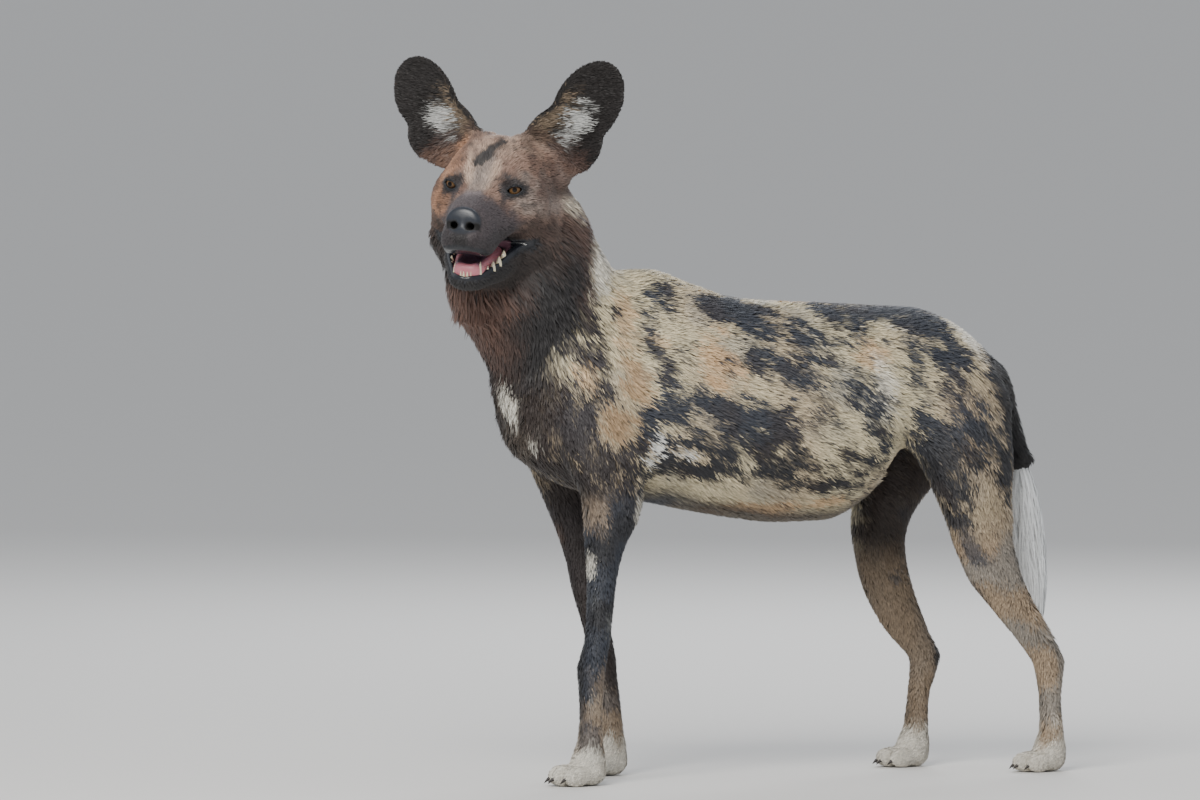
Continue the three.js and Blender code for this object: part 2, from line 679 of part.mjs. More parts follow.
// Solids: joining and cutting.
const fromTriangles = (points, triangles) => {
  const used = new Map();
  const corners = [];
  const faces = triangles.map((face) => face.map((v) => {
    if (!used.has(v)) {
      used.set(v, used.size);
      corners.push(...points[v]);
    }
    return used.get(v);
  }));
  return new wasm.Manifold(new wasm.Mesh({
    numProp: 3,
    vertProperties: new Float32Array(corners),
    triVerts: new Uint32Array(faces.flat()),
  }));
};
const fromGeometry = (geometry) => {
  const plain = geometry.clone();
  plain.deleteAttribute('normal');
  plain.deleteAttribute('uv');
  const merged = mergeVertices(plain, 1e-4);
  return new wasm.Manifold(new wasm.Mesh({
    numProp: 3,
    vertProperties: new Float32Array(merged.attributes.position.array),
    triVerts: new Uint32Array(merged.index.array),
  }));
};
const solid = (form, frame, low, high, step, facets) => {
  const fine = simplify(skin(form, frame, low, high, step), facets);
  return fromTriangles(fine.points, fine.triangles);
};
const largest = (body) => {
  const bodies = body.decompose();
  return bodies.reduce((a, b) => (Math.abs(b.volume()) > Math.abs(a.volume()) ? b : a));
};

// A half space as a large box: everything on the side that the normal points to.
const FAR = 1600;
function halfSpace(point, normal, offset) {
  const n = unit(normal);
  const box = new THREE.BoxGeometry(FAR, FAR, FAR);
  const turnTo = new THREE.Quaternion().setFromUnitVectors(new THREE.Vector3(0, 0, 1), new THREE.Vector3(...n));
  box.applyQuaternion(turnTo);
  box.translate(...add(point, times(n, offset + FAR / 2)));
  return fromGeometry(box);
}
// A region is the part on the far side of each of its planes.
const region = (planes, grow) => planes
  .map(([point, normal]) => halfSpace(point, normal, -grow))
  .reduce((a, b) => a.intersect(b));
const headPlane = (point, normal) => [fromHead(point), sub(fromHead(normal), HEAD_AT)];

const COLLAR = { point: [-285, 0, 575], normal: unit([-0.72, 0, 0.69]) };
const NECK_REGION = [[COLLAR.point, COLLAR.normal]];
// Behind and below this plane the neck wraps the head.
const NAPE_REGION = [headPlane([-88, 0, -15], [-0.69, 0, -0.72])];
const JAW_REGION = [headPlane([MOUTH_CORNER[0], 0, MOUTH_CORNER[1]], [-0.29, 0, -0.957]),
  headPlane([MOUTH_CORNER[0], 0, MOUTH_CORNER[1]], [0.9, 0, -0.43])];
const TONGUE_REGION = [JAW_REGION[0], headPlane([-20, 0, -94], [0.276, 0, 0.961]), headPlane([-16, 0, 0], [1, 0, 0]), headPlane([57, 0, 0], [-1, 0, 0]),
  headPlane([0, 34, 0], [-0.39, -0.92, 0]), headPlane([0, -34, 0], [-0.39, 0.92, 0])];
const NOSE_REGION = [headPlane([81, 0, -36], [1, 0, 0]), headPlane([81, 0, -57], [0, 0, 1])];
const EAR_REGIONS = Object.fromEntries(ears.map((one) => [one.side, [headPlane([-88, one.side * 58, 34], [0, one.side * 0.8, 0.6])]]));
const FORE_TOP = [[-250, 0, 392], [-0.1, 0, -1]];
const HIND_TOP = [[150, 0, 372], [0.42, 0, -0.9]];
const legRegion = (side, top, front, back, inner) => [
  top, [[front, 0, 0], [1, 0, 0]], [[back, 0, 0], [-1, 0, 0]], [[0, side * inner, 0], [0, side, 0]],
];
const LEG_REGIONS = {
  foreleg_left: legRegion(-1, FORE_TOP, -370, -160, 36),
  foreleg_right: legRegion(1, FORE_TOP, -370, -140, 36),
  hindleg_left: legRegion(-1, HIND_TOP, 142, 430, 1),
  hindleg_right: legRegion(1, HIND_TOP, 142, 430, 1),
};
const FLOOR = [[0, 0, -GAP / 2], [0, 0, 1]];
const PAW_REGION = [[[0, 0, PAW_TOP], [0, 0, -1]]];
const TAIL_REGION = [[[330, 0, 430], [1, 0, -0.04]], [[0, -45, 0], [0, 1, 0]], [[0, 45, 0], [0, -1, 0]]];
const BRUSH_REGION = [[[362, 0, 402], [0.1, 0, -1]]];

const keep = (body, planes) => body.intersect(region(planes, -GAP / 2));
const cut = (body, planes) => body.subtract(region(planes, GAP / 2));

// Locks of long hair.
const RUFF_DEPTH = 7;           // how far the neck's core lies inside the tips of the ruff
const smooth = (t) => {
  const s = clamp(t, 0, 1);
  return s * s * (3 - 2 * s);
};
// A small source of repeatable chance, between 0 and 1.
function chance(seed) {
  let state = seed;
  return () => {
    state = (state + 0x6d2b79f5) | 0;
    let t = Math.imul(state ^ (state >>> 15), 1 | state);
    t = (t + Math.imul(t ^ (t >>> 7), 61 | t)) ^ t;
    return ((t ^ (t >>> 14)) >>> 0) / 4294967296;
  };
}
const SMALL = 0.5;
const steepest = (form, p) => [0, 1, 2].map((i) => {
  const step = [0, 0, 0];
  step[i] = SMALL;
  return (form(add(p, step)) - form(sub(p, step))) / (2 * SMALL);
});
// Moves a point straight off or onto the form until it lies the wanted height above the surface.
function settleAt(form, p, height) {
  let at = p;
  for (let turn = 0; turn < 4; turn += 1) {
    const g = steepest(form, at);
    const size = Math.max(length(g), 0.2);
    at = add(at, times(g, (height - form(at)) / size ** 2));
  }
  return at;
}
// The point where a ray from inside first leaves the form.
function leave(form, from, direction) {
  let near = 0;
  let far = 8;
  while (form(add(from, times(direction, far))) < 0 && far < 400) {
    near = far;
    far += 8;
  }
  for (let turn = 0; turn < 12; turn += 1) {
    const middle = (near + far) / 2;
    if (form(add(from, times(direction, middle))) < 0) near = middle;
    else far = middle;
  }
  return add(from, times(direction, near));
}
// A lock: a flat tapered blade. Its root is sunk in the body, it follows the surface in the
// direction of the coat's lie, rises towards its end and closes in a point.
const LOCK_RINGS = 4;
function lock(form, root, lie, { long, wide, thick, sink, lift, lowest }) {
  const spine = [settleAt(form, root, -sink)];
  const heading = [];
  for (let i = 1; i <= LOCK_RINGS; i += 1) {
    const s = i / LOCK_RINGS;
    const here = spine[i - 1];
    const normal = unit(steepest(form, here));
    const along = unit(sub(lie, times(normal, dot(lie, normal))));
    const place = add(here, times(along, long / LOCK_RINGS));
    const height = Math.max(-sink + (sink + lift) * smooth(s * 1.15), lowest ? lowest(place) : -sink);
    spine.push(settleAt(form, place, height));
  }
  const points = [];
  for (let i = 0; i < LOCK_RINGS; i += 1) {
    const s = i / LOCK_RINGS;
    const along = unit(sub(spine[i + 1], spine[Math.max(i - 1, 0)]));
    const normal = unit(steepest(form, spine[i]));
    const side = unit(cross(normal, along));
    const rise = cross(along, side);
    const half = wide / 2 * (0.72 + 0.28 * smooth(s * 3)) * (1 - 0.75 * s ** 2.2);
    const deep = thick / 2 * (1 - 0.5 * s);
    heading.push(along);
    points.push(add(spine[i], times(side, half)), add(spine[i], times(rise, deep)),
      sub(spine[i], times(side, half)), sub(spine[i], times(rise, deep)));
  }
  points.push(spine[LOCK_RINGS]);
  const faces = [[0, 2, 1], [0, 3, 2]];
  for (let i = 0; i < LOCK_RINGS; i += 1) {
    for (let k = 0; k < 4; k += 1) {
      const [a, b] = [i * 4 + k, i * 4 + (k + 1) % 4];
      if (i === LOCK_RINGS - 1) faces.push([a, b, points.length - 1]);
      else faces.push([a, b, b + 4], [a, b + 4, a + 4]);
    }
  }
  return fromTriangles(points, faces);
}
// Rings of locks round an axis. Each ring is [distance along the axis, count, length, width, lift].
function locks({ form, start, axis, lieAt, rings, thick, sink, seed, skip, lowest }) {
  const random = chance(seed);
  const across = unit(cross(axis, [0, 1, 0]));
  const second = cross(axis, across);
  const made = [];
  rings.forEach(([place, count, long, wide, lift], ring) => {
    for (let i = 0; i < count; i += 1) {
      const angle = 2 * Math.PI * (i + (ring % 2) / 2 + 0.3 * (random() - 0.5)) / count;
      const from = add(start, times(axis, place + 8 * (random() - 0.5)));
      const direction = add(times(across, Math.cos(angle)), times(second, Math.sin(angle)));
      const size = { long: long * (0.85 + 0.3 * random()), wide: wide * (0.9 + 0.25 * random()), thick, sink,
        lift: lift * (0.7 + 0.6 * random()), lowest };
      const sway = 0.35 * (random() - 0.5);
      const root = leave(form, from, direction);
      const lie = lieAt(root);
      const turned = add(lie, times(cross(direction, lie), sway));
      if (skip && skip(root)) continue;
      made.push(lock(form, root, turned, size));
    }
  });
  return made;
}

// The named pieces.
const flat = (p) => p;
const headBox = (low, high, step, facets) => solid(wholeForm, fromHead, low, high, step, facets);

const materials = {
  coat: { color: 0x8d7a5c, roughness: 0.85 },
  dark: { color: 0x4a3a30, roughness: 0.85 },
  face: { color: 0x8c6f60, roughness: 0.8 },
  leg: { color: 0x6b5d4c, roughness: 0.85 },
  white: { color: 0xe6e2d8, roughness: 0.85 },
  nose: { color: 0x191a1d, roughness: 0.3 },
  eye: { color: 0x6b4418, roughness: 0.12 },
  tongue: { color: 0xc5707a, roughness: 0.45 },
};

// Joins and cuts leave some very short edges, which are closed up.
const SHORT = 0.25;
function mended(body) {
  const mesh = body.getMesh();
  const points = [];
  const triangles = [];
  for (let i = 0; i < mesh.vertProperties.length; i += 3) points.push([...mesh.vertProperties.slice(i, i + 3)]);
  for (let i = 0; i < mesh.triVerts.length; i += 3) triangles.push([...mesh.triVerts.slice(i, i + 3)]);
  const closed = simplify({ points, triangles }, 4, SHORT);
  return fromTriangles(closed.points, closed.triangles);
}

const pieces = [];
const piece = (name, look, body) => pieces.push({ name, look, body: mended(largest(body)) });

// Torso: the trunk with the roots of neck, limbs and tail cut away.
let torso = solid(wholeForm, flat, [-375, -135, 290], [372, 135, 675], 9, 2050);
torso = cut(torso, NECK_REGION);
for (const planes of Object.values(LEG_REGIONS)) torso = cut(torso, planes);
torso = cut(torso, TAIL_REGION);
piece('torso', 'coat', torso);

// The back of the head is seated in the neck, in a bed that follows the head a little way off.
const BED_OFF = 8;
const bed = simplify(skin((p) => headBare(toHead(p)) - BED_OFF, fromHead, [-176, -98, -150], [114, 98, 82], 7), 420);
const swollen = (shape, by) => {
  const normals = shape.points.map(() => [0, 0, 0]);
  for (const face of shape.triangles) {
    const [a, b, c] = face.map((v) => shape.points[v]);
    const n = cross(sub(b, a), sub(c, a));
    for (const v of face) normals[v] = add(normals[v], n);
  }
  const points = shape.points.map((p, v) => (length(normals[v]) > 0 ? add(p, times(unit(normals[v]), by)) : p));
  return fromTriangles(points, shape.triangles);
};
const seat = swollen(bed, 0);
const seatRoom = swollen(bed, 1.5 * GAP);

// Neck: a core with the ruff's locks, which hang a little way over the torso.
const fromCollar = (p) => dot(sub(p, COLLAR.point), COLLAR.normal);
const neckForm = (p) => wholeForm(p) + RUFF_DEPTH * smooth(fromCollar(p) / 30) * smooth((headBare(toHead(p)) - BED_OFF) / 24);
let neckBody = keep(solid(neckForm, flat, [-475, -175, 430], [-140, 125, 860], 8, 1000), [...NECK_REGION, ...NAPE_REGION]);
const ruff = locks({
  form: neckForm,
  start: [-305, 0, 590],
  axis: unit([-0.52, -0.1, 0.85]),
  lieAt: (p) => unit([0.25 + 0.5 * clamp((p[0] + 360) / 120, 0, 1), 0, -1]),
  rings: [[26, 12, 70, 44, 7], [54, 11, 66, 44, 6], [82, 11, 60, 42, 5], [112, 9, 56, 40, 4], [142, 7, 50, 36, 3]],
  thick: 9,
  sink: 12,
  seed: 7,
  skip: (root) => headBare(toHead(root)) < BED_OFF + 4 || fromCollar(root) < 16,
  lowest: (p) => -12 + 23 * smooth((26 - fromCollar(p)) / 16),
});
for (const one of ruff) neckBody = neckBody.add(one);
const CLEAR = 3;                // room that the hanging locks keep to the torso
const shield = solid((p) => wholeForm(p) - CLEAR, flat, [-400, -140, 380], [-120, 140, 690], 9, 700);
neckBody = keep(neckBody, NAPE_REGION).subtract(seatRoom).subtract(cut(shield, NECK_REGION));
piece('neck', 'dark', neckBody);

// A tooth: a small five-sided cone from its root in the gum to its tip.
function tooth(root, tip, radius) {
  const [from, to] = [fromHead(root), fromHead(tip)];
  const cone = new THREE.ConeGeometry(radius, length(sub(to, from)), 5);
  const along = new THREE.Vector3(...unit(sub(to, from)));
  cone.applyQuaternion(new THREE.Quaternion().setFromUnitVectors(new THREE.Vector3(0, 1, 0), along));
  cone.translate(...times(add(from, to), 0.5));
  return fromGeometry(cone);
}
const lowerTeeth = (room) => mirrored((side) => [
  tooth([49, side * 18, -112], [52, side * 18.5, -93 + room], 5 + room),
  tooth([39, side * 24.5, -104], [39, side * 25, -96 + room], 5.5 + room),
  tooth([29, side * 30, -98], [29, side * 31, -90 + room], 6.5 + room),
  tooth([16, side * 35, -94], [16, side * 36, -84 + room], 7.5 + room),
  ...[4, 9, 14].map((across) => {
    const forwards = 63 - across * 0.35;
    return tooth([forwards, side * across, -114], [forwards + 2, side * across, -104 + room], 3 + room);
  }),
]).flat();
const upperTeeth = mirrored((side) => [
  tooth([62, side * 20, -66], [61, side * 20, -87], 5),
  ...[3, 8, 13].map((across) => tooth([80 - across * 0.4, side * across, -66], [79 - across * 0.4, side * across, -79], 3)),
]).flat();

// Head: skull, brows, cheeks and upper lips, with beds for the eyes.
const behind = region(NAPE_REGION, GAP / 2).subtract(seat);
let head = headBox([-172, -96, -146], [106, 96, 84], 3.2, 3250).subtract(behind);
head = cut(cut(cut(head, JAW_REGION), TONGUE_REGION), NOSE_REGION);
for (const one of ears) head = cut(head, EAR_REGIONS[one.side]);
const ball = (side, radius) => {
  const sphere = new THREE.SphereGeometry(radius, 16, 10);
  sphere.translate(...fromHead(eyeFrame(side).centre));
  return fromGeometry(sphere);
};
for (const side of [1, -1]) head = head.subtract(ball(side, EYE_RADIUS + GAP));
for (const one of upperTeeth) head = head.add(one);
piece('head', 'face', head);

for (const side of [1, -1]) piece(side > 0 ? 'eye_left' : 'eye_right', 'eye', ball(side, EYE_RADIUS));

const mouth = headBox([-60, -66, -142], [82, 66, -58], 3, 1200);
let jaw = cut(keep(mouth, JAW_REGION), TONGUE_REGION);
for (const one of lowerTeeth(0)) jaw = jaw.add(one);
piece('lower_jaw', 'face', jaw.subtract(behind));
let tongue = keep(mouth, TONGUE_REGION);
for (const one of lowerTeeth(GAP)) tongue = tongue.subtract(one);
piece('tongue', 'tongue', tongue);

const nose = headBox([72, -36, -66], [106, 36, -8], 2, 360);
piece('nose', 'nose', keep(nose, NOSE_REGION));

for (const one of ears) {
  const earPlace = (r) => {
    const lifted = [r[0], r[1], r[2] + earHollow(r[0], r[1])];
    const q = add(one.base, add(times(one.axis, lifted[0] * one.reach), add(times(one.across, lifted[1]), times(one.facing, lifted[2]))));
    return fromHead(q);
  };
  const cup = solid(wholeForm, earPlace, [-30, -56, -14], [144, 64, 16], 4, 520);
  piece(one.side > 0 ? 'ear_left' : 'ear_right', 'dark', keep(cup, EAR_REGIONS[one.side]));
}

// Limbs.
const LEG_BOXES = {
  foreleg_left: [[-330, -135, 20], [-150, -20, 430], 560],
  foreleg_right: [[-330, 20, 20], [-130, 135, 430], 560],
  hindleg_left: [[120, -135, 20], [410, 16, 500], 620],
  hindleg_right: [[120, -16, 20], [380, 135, 500], 620],
};
for (const [name, [low, high, facets]] of Object.entries(LEG_BOXES)) {
  const body = solid(wholeForm, flat, low, high, 6, facets);
  piece(name, 'leg', cut(cut(keep(body, LEG_REGIONS[name]), PAW_REGION), TAIL_REGION));
}

// Paws with their claws.
function claw(x, y, size) {
  const cone = new THREE.ConeGeometry(3.4 * size, 15 * size, 5);
  cone.translate(0, 2 * size, 0);
  cone.rotateZ(radians(112));
  cone.translate(x, y, 12 * size);
  return fromGeometry(cone);
}
for (const [name, [x, y, size]] of Object.entries(PAWS)) {
  let body = solid(wholeForm, flat, [x - 60, y - 38, -4], [x + 42, y + 38, 62], 3, 420);
  for (const place of [-1.5, -0.5, 0.5, 1.5]) {
    const reach = Math.abs(place) < 1 ? 46 : 35;
    body = body.add(claw(x - reach * size, y + place * 13.5 * size, size));
  }
  piece(`paw_${name}`, 'leg', keep(body, [...PAW_REGION, FLOOR]));
}

// Tail.
const tail = solid(wholeForm, flat, [300, -60, 380], [420, 60, 540], 5, 260);
piece('tail_base', 'dark', cut(keep(tail, TAIL_REGION), BRUSH_REGION));
const brushForm = (p) => tailBrush(p) + BRUSH_CORE * smooth((398 - p[2]) / 30);
let brush = keep(solid(brushForm, flat, [330, -40, 155], [425, 40, 430], 5, 200), BRUSH_REGION);
const brushLocks = locks({
  form: brushForm,
  start: [362, 0, 392],
  axis: unit([0.13, 0, -1]),
  lieAt: () => [0.06, 0, -1],
  rings: [[8, 5, 84, 28, 8], [56, 4, 86, 32, 10], [102, 4, 82, 32, 10], [144, 3, 66, 28, 5]],
  thick: 7,
  sink: 7,
  seed: 11,
});
for (const one of brushLocks) brush = brush.add(one);
piece('tail_brush', 'white', keep(brush, BRUSH_REGION));

// Output.
const group = new THREE.Group();
for (const { name, look, body } of pieces) {
  const mesh = body.getMesh();
  const geometry = new THREE.BufferGeometry();
  const points = new Float32Array(mesh.vertProperties);
  for (let i = 0; i < points.length; i += 3) {
    points[i] += PLACE_X;
    points[i + 1] += PLACE_Y;
    points[i + 2] = Math.max(points[i + 2], 0);
  }
  geometry.setAttribute('position', new THREE.BufferAttribute(points, 3));
  geometry.setIndex(new THREE.BufferAttribute(new Uint32Array(mesh.triVerts), 1));
  geometry.computeVertexNormals();
  const shown = new THREE.Mesh(geometry, new THREE.MeshStandardMaterial({ ...materials[look], metalness: 0 }));
  shown.name = name;
  group.add(shown);
}
export default group;
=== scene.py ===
"""An African wild dog as a still, life-size museum model: skin, coat, eyes, mouth and claws."""
import math
import bpy
import numpy as np
from mathutils import Matrix, Vector


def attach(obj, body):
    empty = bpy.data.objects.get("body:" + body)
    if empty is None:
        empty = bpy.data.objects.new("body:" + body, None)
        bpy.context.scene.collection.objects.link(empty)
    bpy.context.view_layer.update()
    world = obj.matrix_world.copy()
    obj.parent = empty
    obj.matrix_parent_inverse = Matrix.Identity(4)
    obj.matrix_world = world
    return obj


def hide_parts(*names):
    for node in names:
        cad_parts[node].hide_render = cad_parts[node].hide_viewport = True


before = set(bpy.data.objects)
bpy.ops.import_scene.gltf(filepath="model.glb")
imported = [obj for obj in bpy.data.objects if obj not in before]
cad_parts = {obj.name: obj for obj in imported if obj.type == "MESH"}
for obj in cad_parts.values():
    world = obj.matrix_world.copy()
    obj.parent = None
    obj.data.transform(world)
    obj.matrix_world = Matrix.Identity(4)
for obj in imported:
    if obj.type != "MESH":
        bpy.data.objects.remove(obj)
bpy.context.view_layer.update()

# Sizes in millimetres, in the body's own frame: the dog faces -X, its left side is towards -Y.
PLACE = np.array([46.0, 34.0, 0.0])      # moves the body so that its middle is over the origin
WITHERS = 655.0
HEAD_AT = np.array([-422.0, -100.0, 771.0])
HEAD_TURN, HEAD_DOWN, HEAD_LEAN = 53.0, 5.0, 4.5
EYE_RADIUS, EYE_SPREAD, EYE_LEVEL, EYE_OUT = 12.0, 42.5, -5.0, 20.0
LID_RADIUS = 14.6
SEED = 5


# Small helpers on arrays of points, one row a point.
def unit(v):
    v = np.asarray(v, float)
    return v / np.maximum(np.linalg.norm(v, axis=-1, keepdims=True), 1e-9)


def smooth(t):
    t = np.clip(t, 0, 1)
    return t * t * (3 - 2 * t)


def toward(start, goal, weight):
    return start * (1 - weight) + goal * weight


def blend(a, b, k):
    h = np.maximum(k - np.abs(a - b), 0)
    return np.minimum(a, b) - h * h / (4 * np.maximum(k, 1e-6))


def carve(a, b, k):
    return -blend(-a, b, k)


def within(a, b, k):
    return -blend(-a, -b, k)


def curve(keys, values):
    """A smooth curve through the values at the keys, without overshoot."""
    keys = np.array(keys, float)
    values = np.array(values, float)
    slope = np.diff(values) / np.diff(keys)
    before = np.concatenate([slope[:1], slope])
    after = np.concatenate([slope, slope[-1:]])
    total = np.where(before * after > 0, before + after, 1)
    tangent = np.where(before * after > 0, 2 * before * after / total, 0)

    def at(t):
        t = np.clip(t, keys[0], keys[-1])
        i = np.clip(np.searchsorted(keys, t, side="right") - 1, 0, len(keys) - 2)
        h = keys[i + 1] - keys[i]
        s = (t - keys[i]) / h
        rise = s * s * (3 - 2 * s)
        first = s * (1 - s) * (1 - s) * h * tangent[i]
        last = s * s * (s - 1) * h * tangent[i + 1]
        return values[i] * (1 - rise) + values[i + 1] * rise + first + last
    return at


def section(u, v, across, up, egg, power):
    """Distance to a flat oval section: egg > 0 narrows the top, power > 2 squares it."""
    width = across * (1 - egg * np.clip(v / up, -1, 1))
    a = np.maximum(np.abs(u / width), 1e-6)
    b = np.maximum(np.abs(v / up), 1e-6)
    k = (a ** power + b ** power) ** (1 / power)
    ga = (a / k) ** (power - 1) / width
    gb = (b / k) ** (power - 1) / up
    return (k - 1) / np.hypot(ga, gb)


def tube(axis, across, up, power, rows):
    """A form along one axis. Each row is [place, low, high, middle across, half width, egg]."""
    table = np.array([list(row) + [0] * (6 - len(row)) for row in rows], float)
    keys = table[:, 0]
    low, high, middle, half, egg = [curve(keys, table[:, c]) for c in range(1, 6)]
    widest = table[:, 4] * (1 + np.abs(table[:, 5]))
    floor = np.zeros(3)
    ceiling = np.zeros(3)
    floor[[axis, across, up]] = keys[0], (table[:, 3] - widest).min(), table[:, 1].min()
    ceiling[[axis, across, up]] = keys[-1], (table[:, 3] + widest).max(), table[:, 2].max()

    def at(p):
        beyond = np.maximum(floor - p, p - ceiling).max(axis=1)
        near = beyond < 40
        if near.all():
            return exact(p)
        beyond[near] = exact(p[near])
        return beyond

    def exact(p):
        t = p[:, axis]
        top = high(t)
        bottom = low(t)
        height = (top - bottom) / 2
        d = section(p[:, across] - middle(t), p[:, up] - (top + bottom) / 2, half(t), height, egg(t), power)
        return within(d, np.maximum(keys[0] - t, t - keys[-1]), 8.0)
    return at


def blob(centre, radii):
    centre = np.array(centre, float)
    radii = np.array(radii, float)

    def at(p):
        q = p - centre
        k = np.maximum(np.linalg.norm(q / radii, axis=1), 1e-4)
        return (k - 1) * k / np.maximum(np.linalg.norm(q / radii ** 2, axis=1), 1e-9)
    return at


def bar(a, b, ra, rb):
    a = np.array(a, float)
    along = np.array(b, float) - a

    def at(p):
        t = np.clip((p - a) @ along / (along @ along), 0, 1)
        return np.linalg.norm(p - a - t[:, None] * along, axis=1) - (ra + (rb - ra) * t)
    return at


def blend_all(forms, k):
    def at(p):
        d = forms[0](p)
        for form in forms[1:]:
            d = blend(d, form(p), k)
        return d
    return at


# Large primes that stir the numbers of a noise cell: one for each axis, one for the seed and one for the mix.
AXIS_PRIMES = (73856093, 19349663, 83492791)
SEED_PRIME = 2654435761
MIX_PRIME = 1274126177


def noise(p, size, seed=0):
    """Smooth noise between -1 and 1 whose lumps are about one size across."""
    q = (p / size + 100.0 + 17.3 * seed).T
    cell = np.floor(q).astype(np.int64)
    part = q - cell
    part = part * part * (3 - 2 * part)
    hashes = [[cell[a] * prime, (cell[a] + 1) * prime] for a, prime in enumerate(AXIS_PRIMES)]
    weights = [[1 - part[a], part[a]] for a in range(3)]
    total = np.zeros(len(p))
    for i in (0, 1):
        for j in (0, 1):
            pair = hashes[0][i] ^ hashes[1][j] ^ (seed * SEED_PRIME)
            weight = weights[0][i] * weights[1][j]
            for k in (0, 1):
                h = pair ^ hashes[2][k]
                h = (h ^ (h >> 13)) * MIX_PRIME
                total += (((h ^ (h >> 16)) & 0xFFFF) / 32767.5 - 1) * weight * weights[2][k]
    return total


# The trunk: [x, belly, back, middle, half width, egg].
trunk = tube(0, 1, 2, 2.2, [
    [-352, 458, 502, 0, 22, 0],
    [-338, 424, 540, 0, 50, 0],
    [-305, 396, 590, 0, 78, 0.05],
    [-255, 372, 632, 0, 93, 0.15],
    [-205, 360, WITHERS - 2, 0, 99, 0.25],
    [-159, 354, WITHERS, 0, 102, 0.28],
    [-100, 342, 636, 0, 105, 0.22],
    [-40, 331, 617, 0, 109, 0.16],
    [20, 324, 611, 0, 111, 0.12],
    [80, 325, 608, 0, 108, 0.1],
    [130, 350, 605, 0, 100, 0.06],
    [176, 408, 602, 0, 90, 0.02],
    [210, 428, 600, 0, 86, 0.05],
    [255, 430, 584, 0, 78, 0.08],
    [297, 430, 554, 0, 62, 0.1],
    [328, 436, 522, 0, 42, 0],
    [346, 455, 495, 0, 20, 0],
])

# The neck: [z, near edge y, far edge y, middle x, half length along x].
neck = tube(2, 0, 1, 2, [
    [440, -60, 60, -275, 40],
    [480, -80, 78, -280, 72],
    [520, -88, 84, -278, 90],
    [565, -94, 78, -290, 103],
    [617, -100, 60, -319, 115],
    [660, -101, 48, -332, 112],
    [690, -99, 40, -339, 103],
    [730, -93, 32, -345, 91],
    [765, -86, 22, -350, 76],
    [800, -76, -10, -356, 40],
])


# The limbs: [z, inner and outer edges as y for a leg on the right side, middle x, half length along x].
def limb(side, rows):
    right = tube(2, 0, 1, 2.1, rows)
    return lambda p: right(p * np.array([1, side, 1]))


# The front legs share their edges: [z, inner, outer, near leg's middle and half length, far leg's].
FORE_LEGS = [
    [30, 55, 95, -266, 18, -176, 18],
    [60, 57, 93, -265, 15.5, -176, 15.5],
    [90, 58, 92, -264, 14.5, -178, 14.5],
    [125, 57, 93, -264, 16, -184, 16],
    [147, 56, 95, -264, 18.5, -188, 18.5],
    [165, 57, 95, -260, 17.5, -190, 17.5],
    [193, 59, 95, -255, 16.5, -196, 17.5],
    [235, 58, 97, -252, 18, -206, 21],
    [277, 55, 100, -249, 23, -213, 25],
    [311, 52, 104, -245, 30, -218, 31],
    [340, 50, 108, -238, 38, -222, 38],
    [365, 48, 110, -236, 42, -228, 43],
    [400, 46, 112, -244, 50, -238, 50],
    [440, 42, 108, -250, 58, -246, 58],
    [480, 42, 100, -252, 56, -250, 56],
    [520, 44, 90, -250, 44, -250, 44],
    [555, 50, 76, -246, 24, -246, 24],
]
fore_near = limb(-1, [row[:5] for row in FORE_LEGS])
fore_far = limb(1, [row[:3] + row[5:] for row in FORE_LEGS])
hind_near = limb(-1, [
    [24, 52, 92, 378, 17],
    [50, 55, 90, 377, 15],
    [90, 56, 90, 375, 14],
    [118, 56, 91, 374, 17],
    [138, 56, 92, 373, 21],
    [158, 57, 91, 363, 24],
    [173, 57, 91, 352, 25],
    [199, 57, 92, 332, 28],
    [224, 56, 95, 314, 32],
    [250, 54, 99, 297, 38],
    [276, 52, 104, 286, 41],
    [301, 49, 109, 277, 43],
    [327, 46, 112, 273, 47],
    [353, 42, 114, 266, 51],
    [379, 36, 114, 262, 58],
    [405, 30, 112, 257, 66],
    [431, 22, 106, 250, 74],
    [470, 18, 98, 252, 74],
    [510, 20, 84, 252, 56],
    [545, 26, 66, 250, 28],
])
hind_far = limb(1, [
    [24, 50, 90, 247, 17],
    [50, 52, 88, 248, 15],
    [90, 53, 87, 251, 14],
    [118, 53, 88, 257, 17],
    [140, 53, 90, 261, 21],
    [158, 54, 89, 250, 25],
    [173, 55, 90, 239, 28],
    [199, 55, 93, 225, 32],
    [224, 54, 98, 214, 34],
    [250, 52, 103, 206, 35],
    [276, 49, 108, 201, 36],
    [301, 46, 112, 199, 38],
    [327, 42, 114, 203, 42],
    [353, 36, 114, 212, 50],
    [379, 30, 112, 224, 60],
    [405, 24, 108, 236, 68],
    [440, 18, 104, 244, 72],
    [480, 18, 96, 250, 70],
    [515, 20, 82, 252, 52],
    [545, 26, 66, 250, 28],
])

# The paws: [x, y, size]; their toes point to -X and the middle two reach furthest.
PAWS = [(-272, -75, 1.0), (-182, 75, 1.0), (370, -72, 0.93), (239, 70, 0.93)]
TOE_PLACES = (-1.5, -0.5, 0.5, 1.5)
TOE_GAP = 13.5


def toe_reach(place):
    return 31 if abs(place) < 1 else 20


def paw(x, y, size):
    def lump(back, aside, up, *half):
        return blob([x + back * size, y + aside * size, up * size], [one * size for one in half])

    toes = [lump(-toe_reach(t), t * TOE_GAP, 13, 17, 8.2, 13.8) for t in TOE_PLACES]
    heel = lump(2, 0, 17, 25, 25, 19)
    root = lump(4, 0, 32, 20, 19, 22)
    return blend_all(toes + [blend_all([heel, root], 10)], 6)


paws = [paw(*one) for one in PAWS]

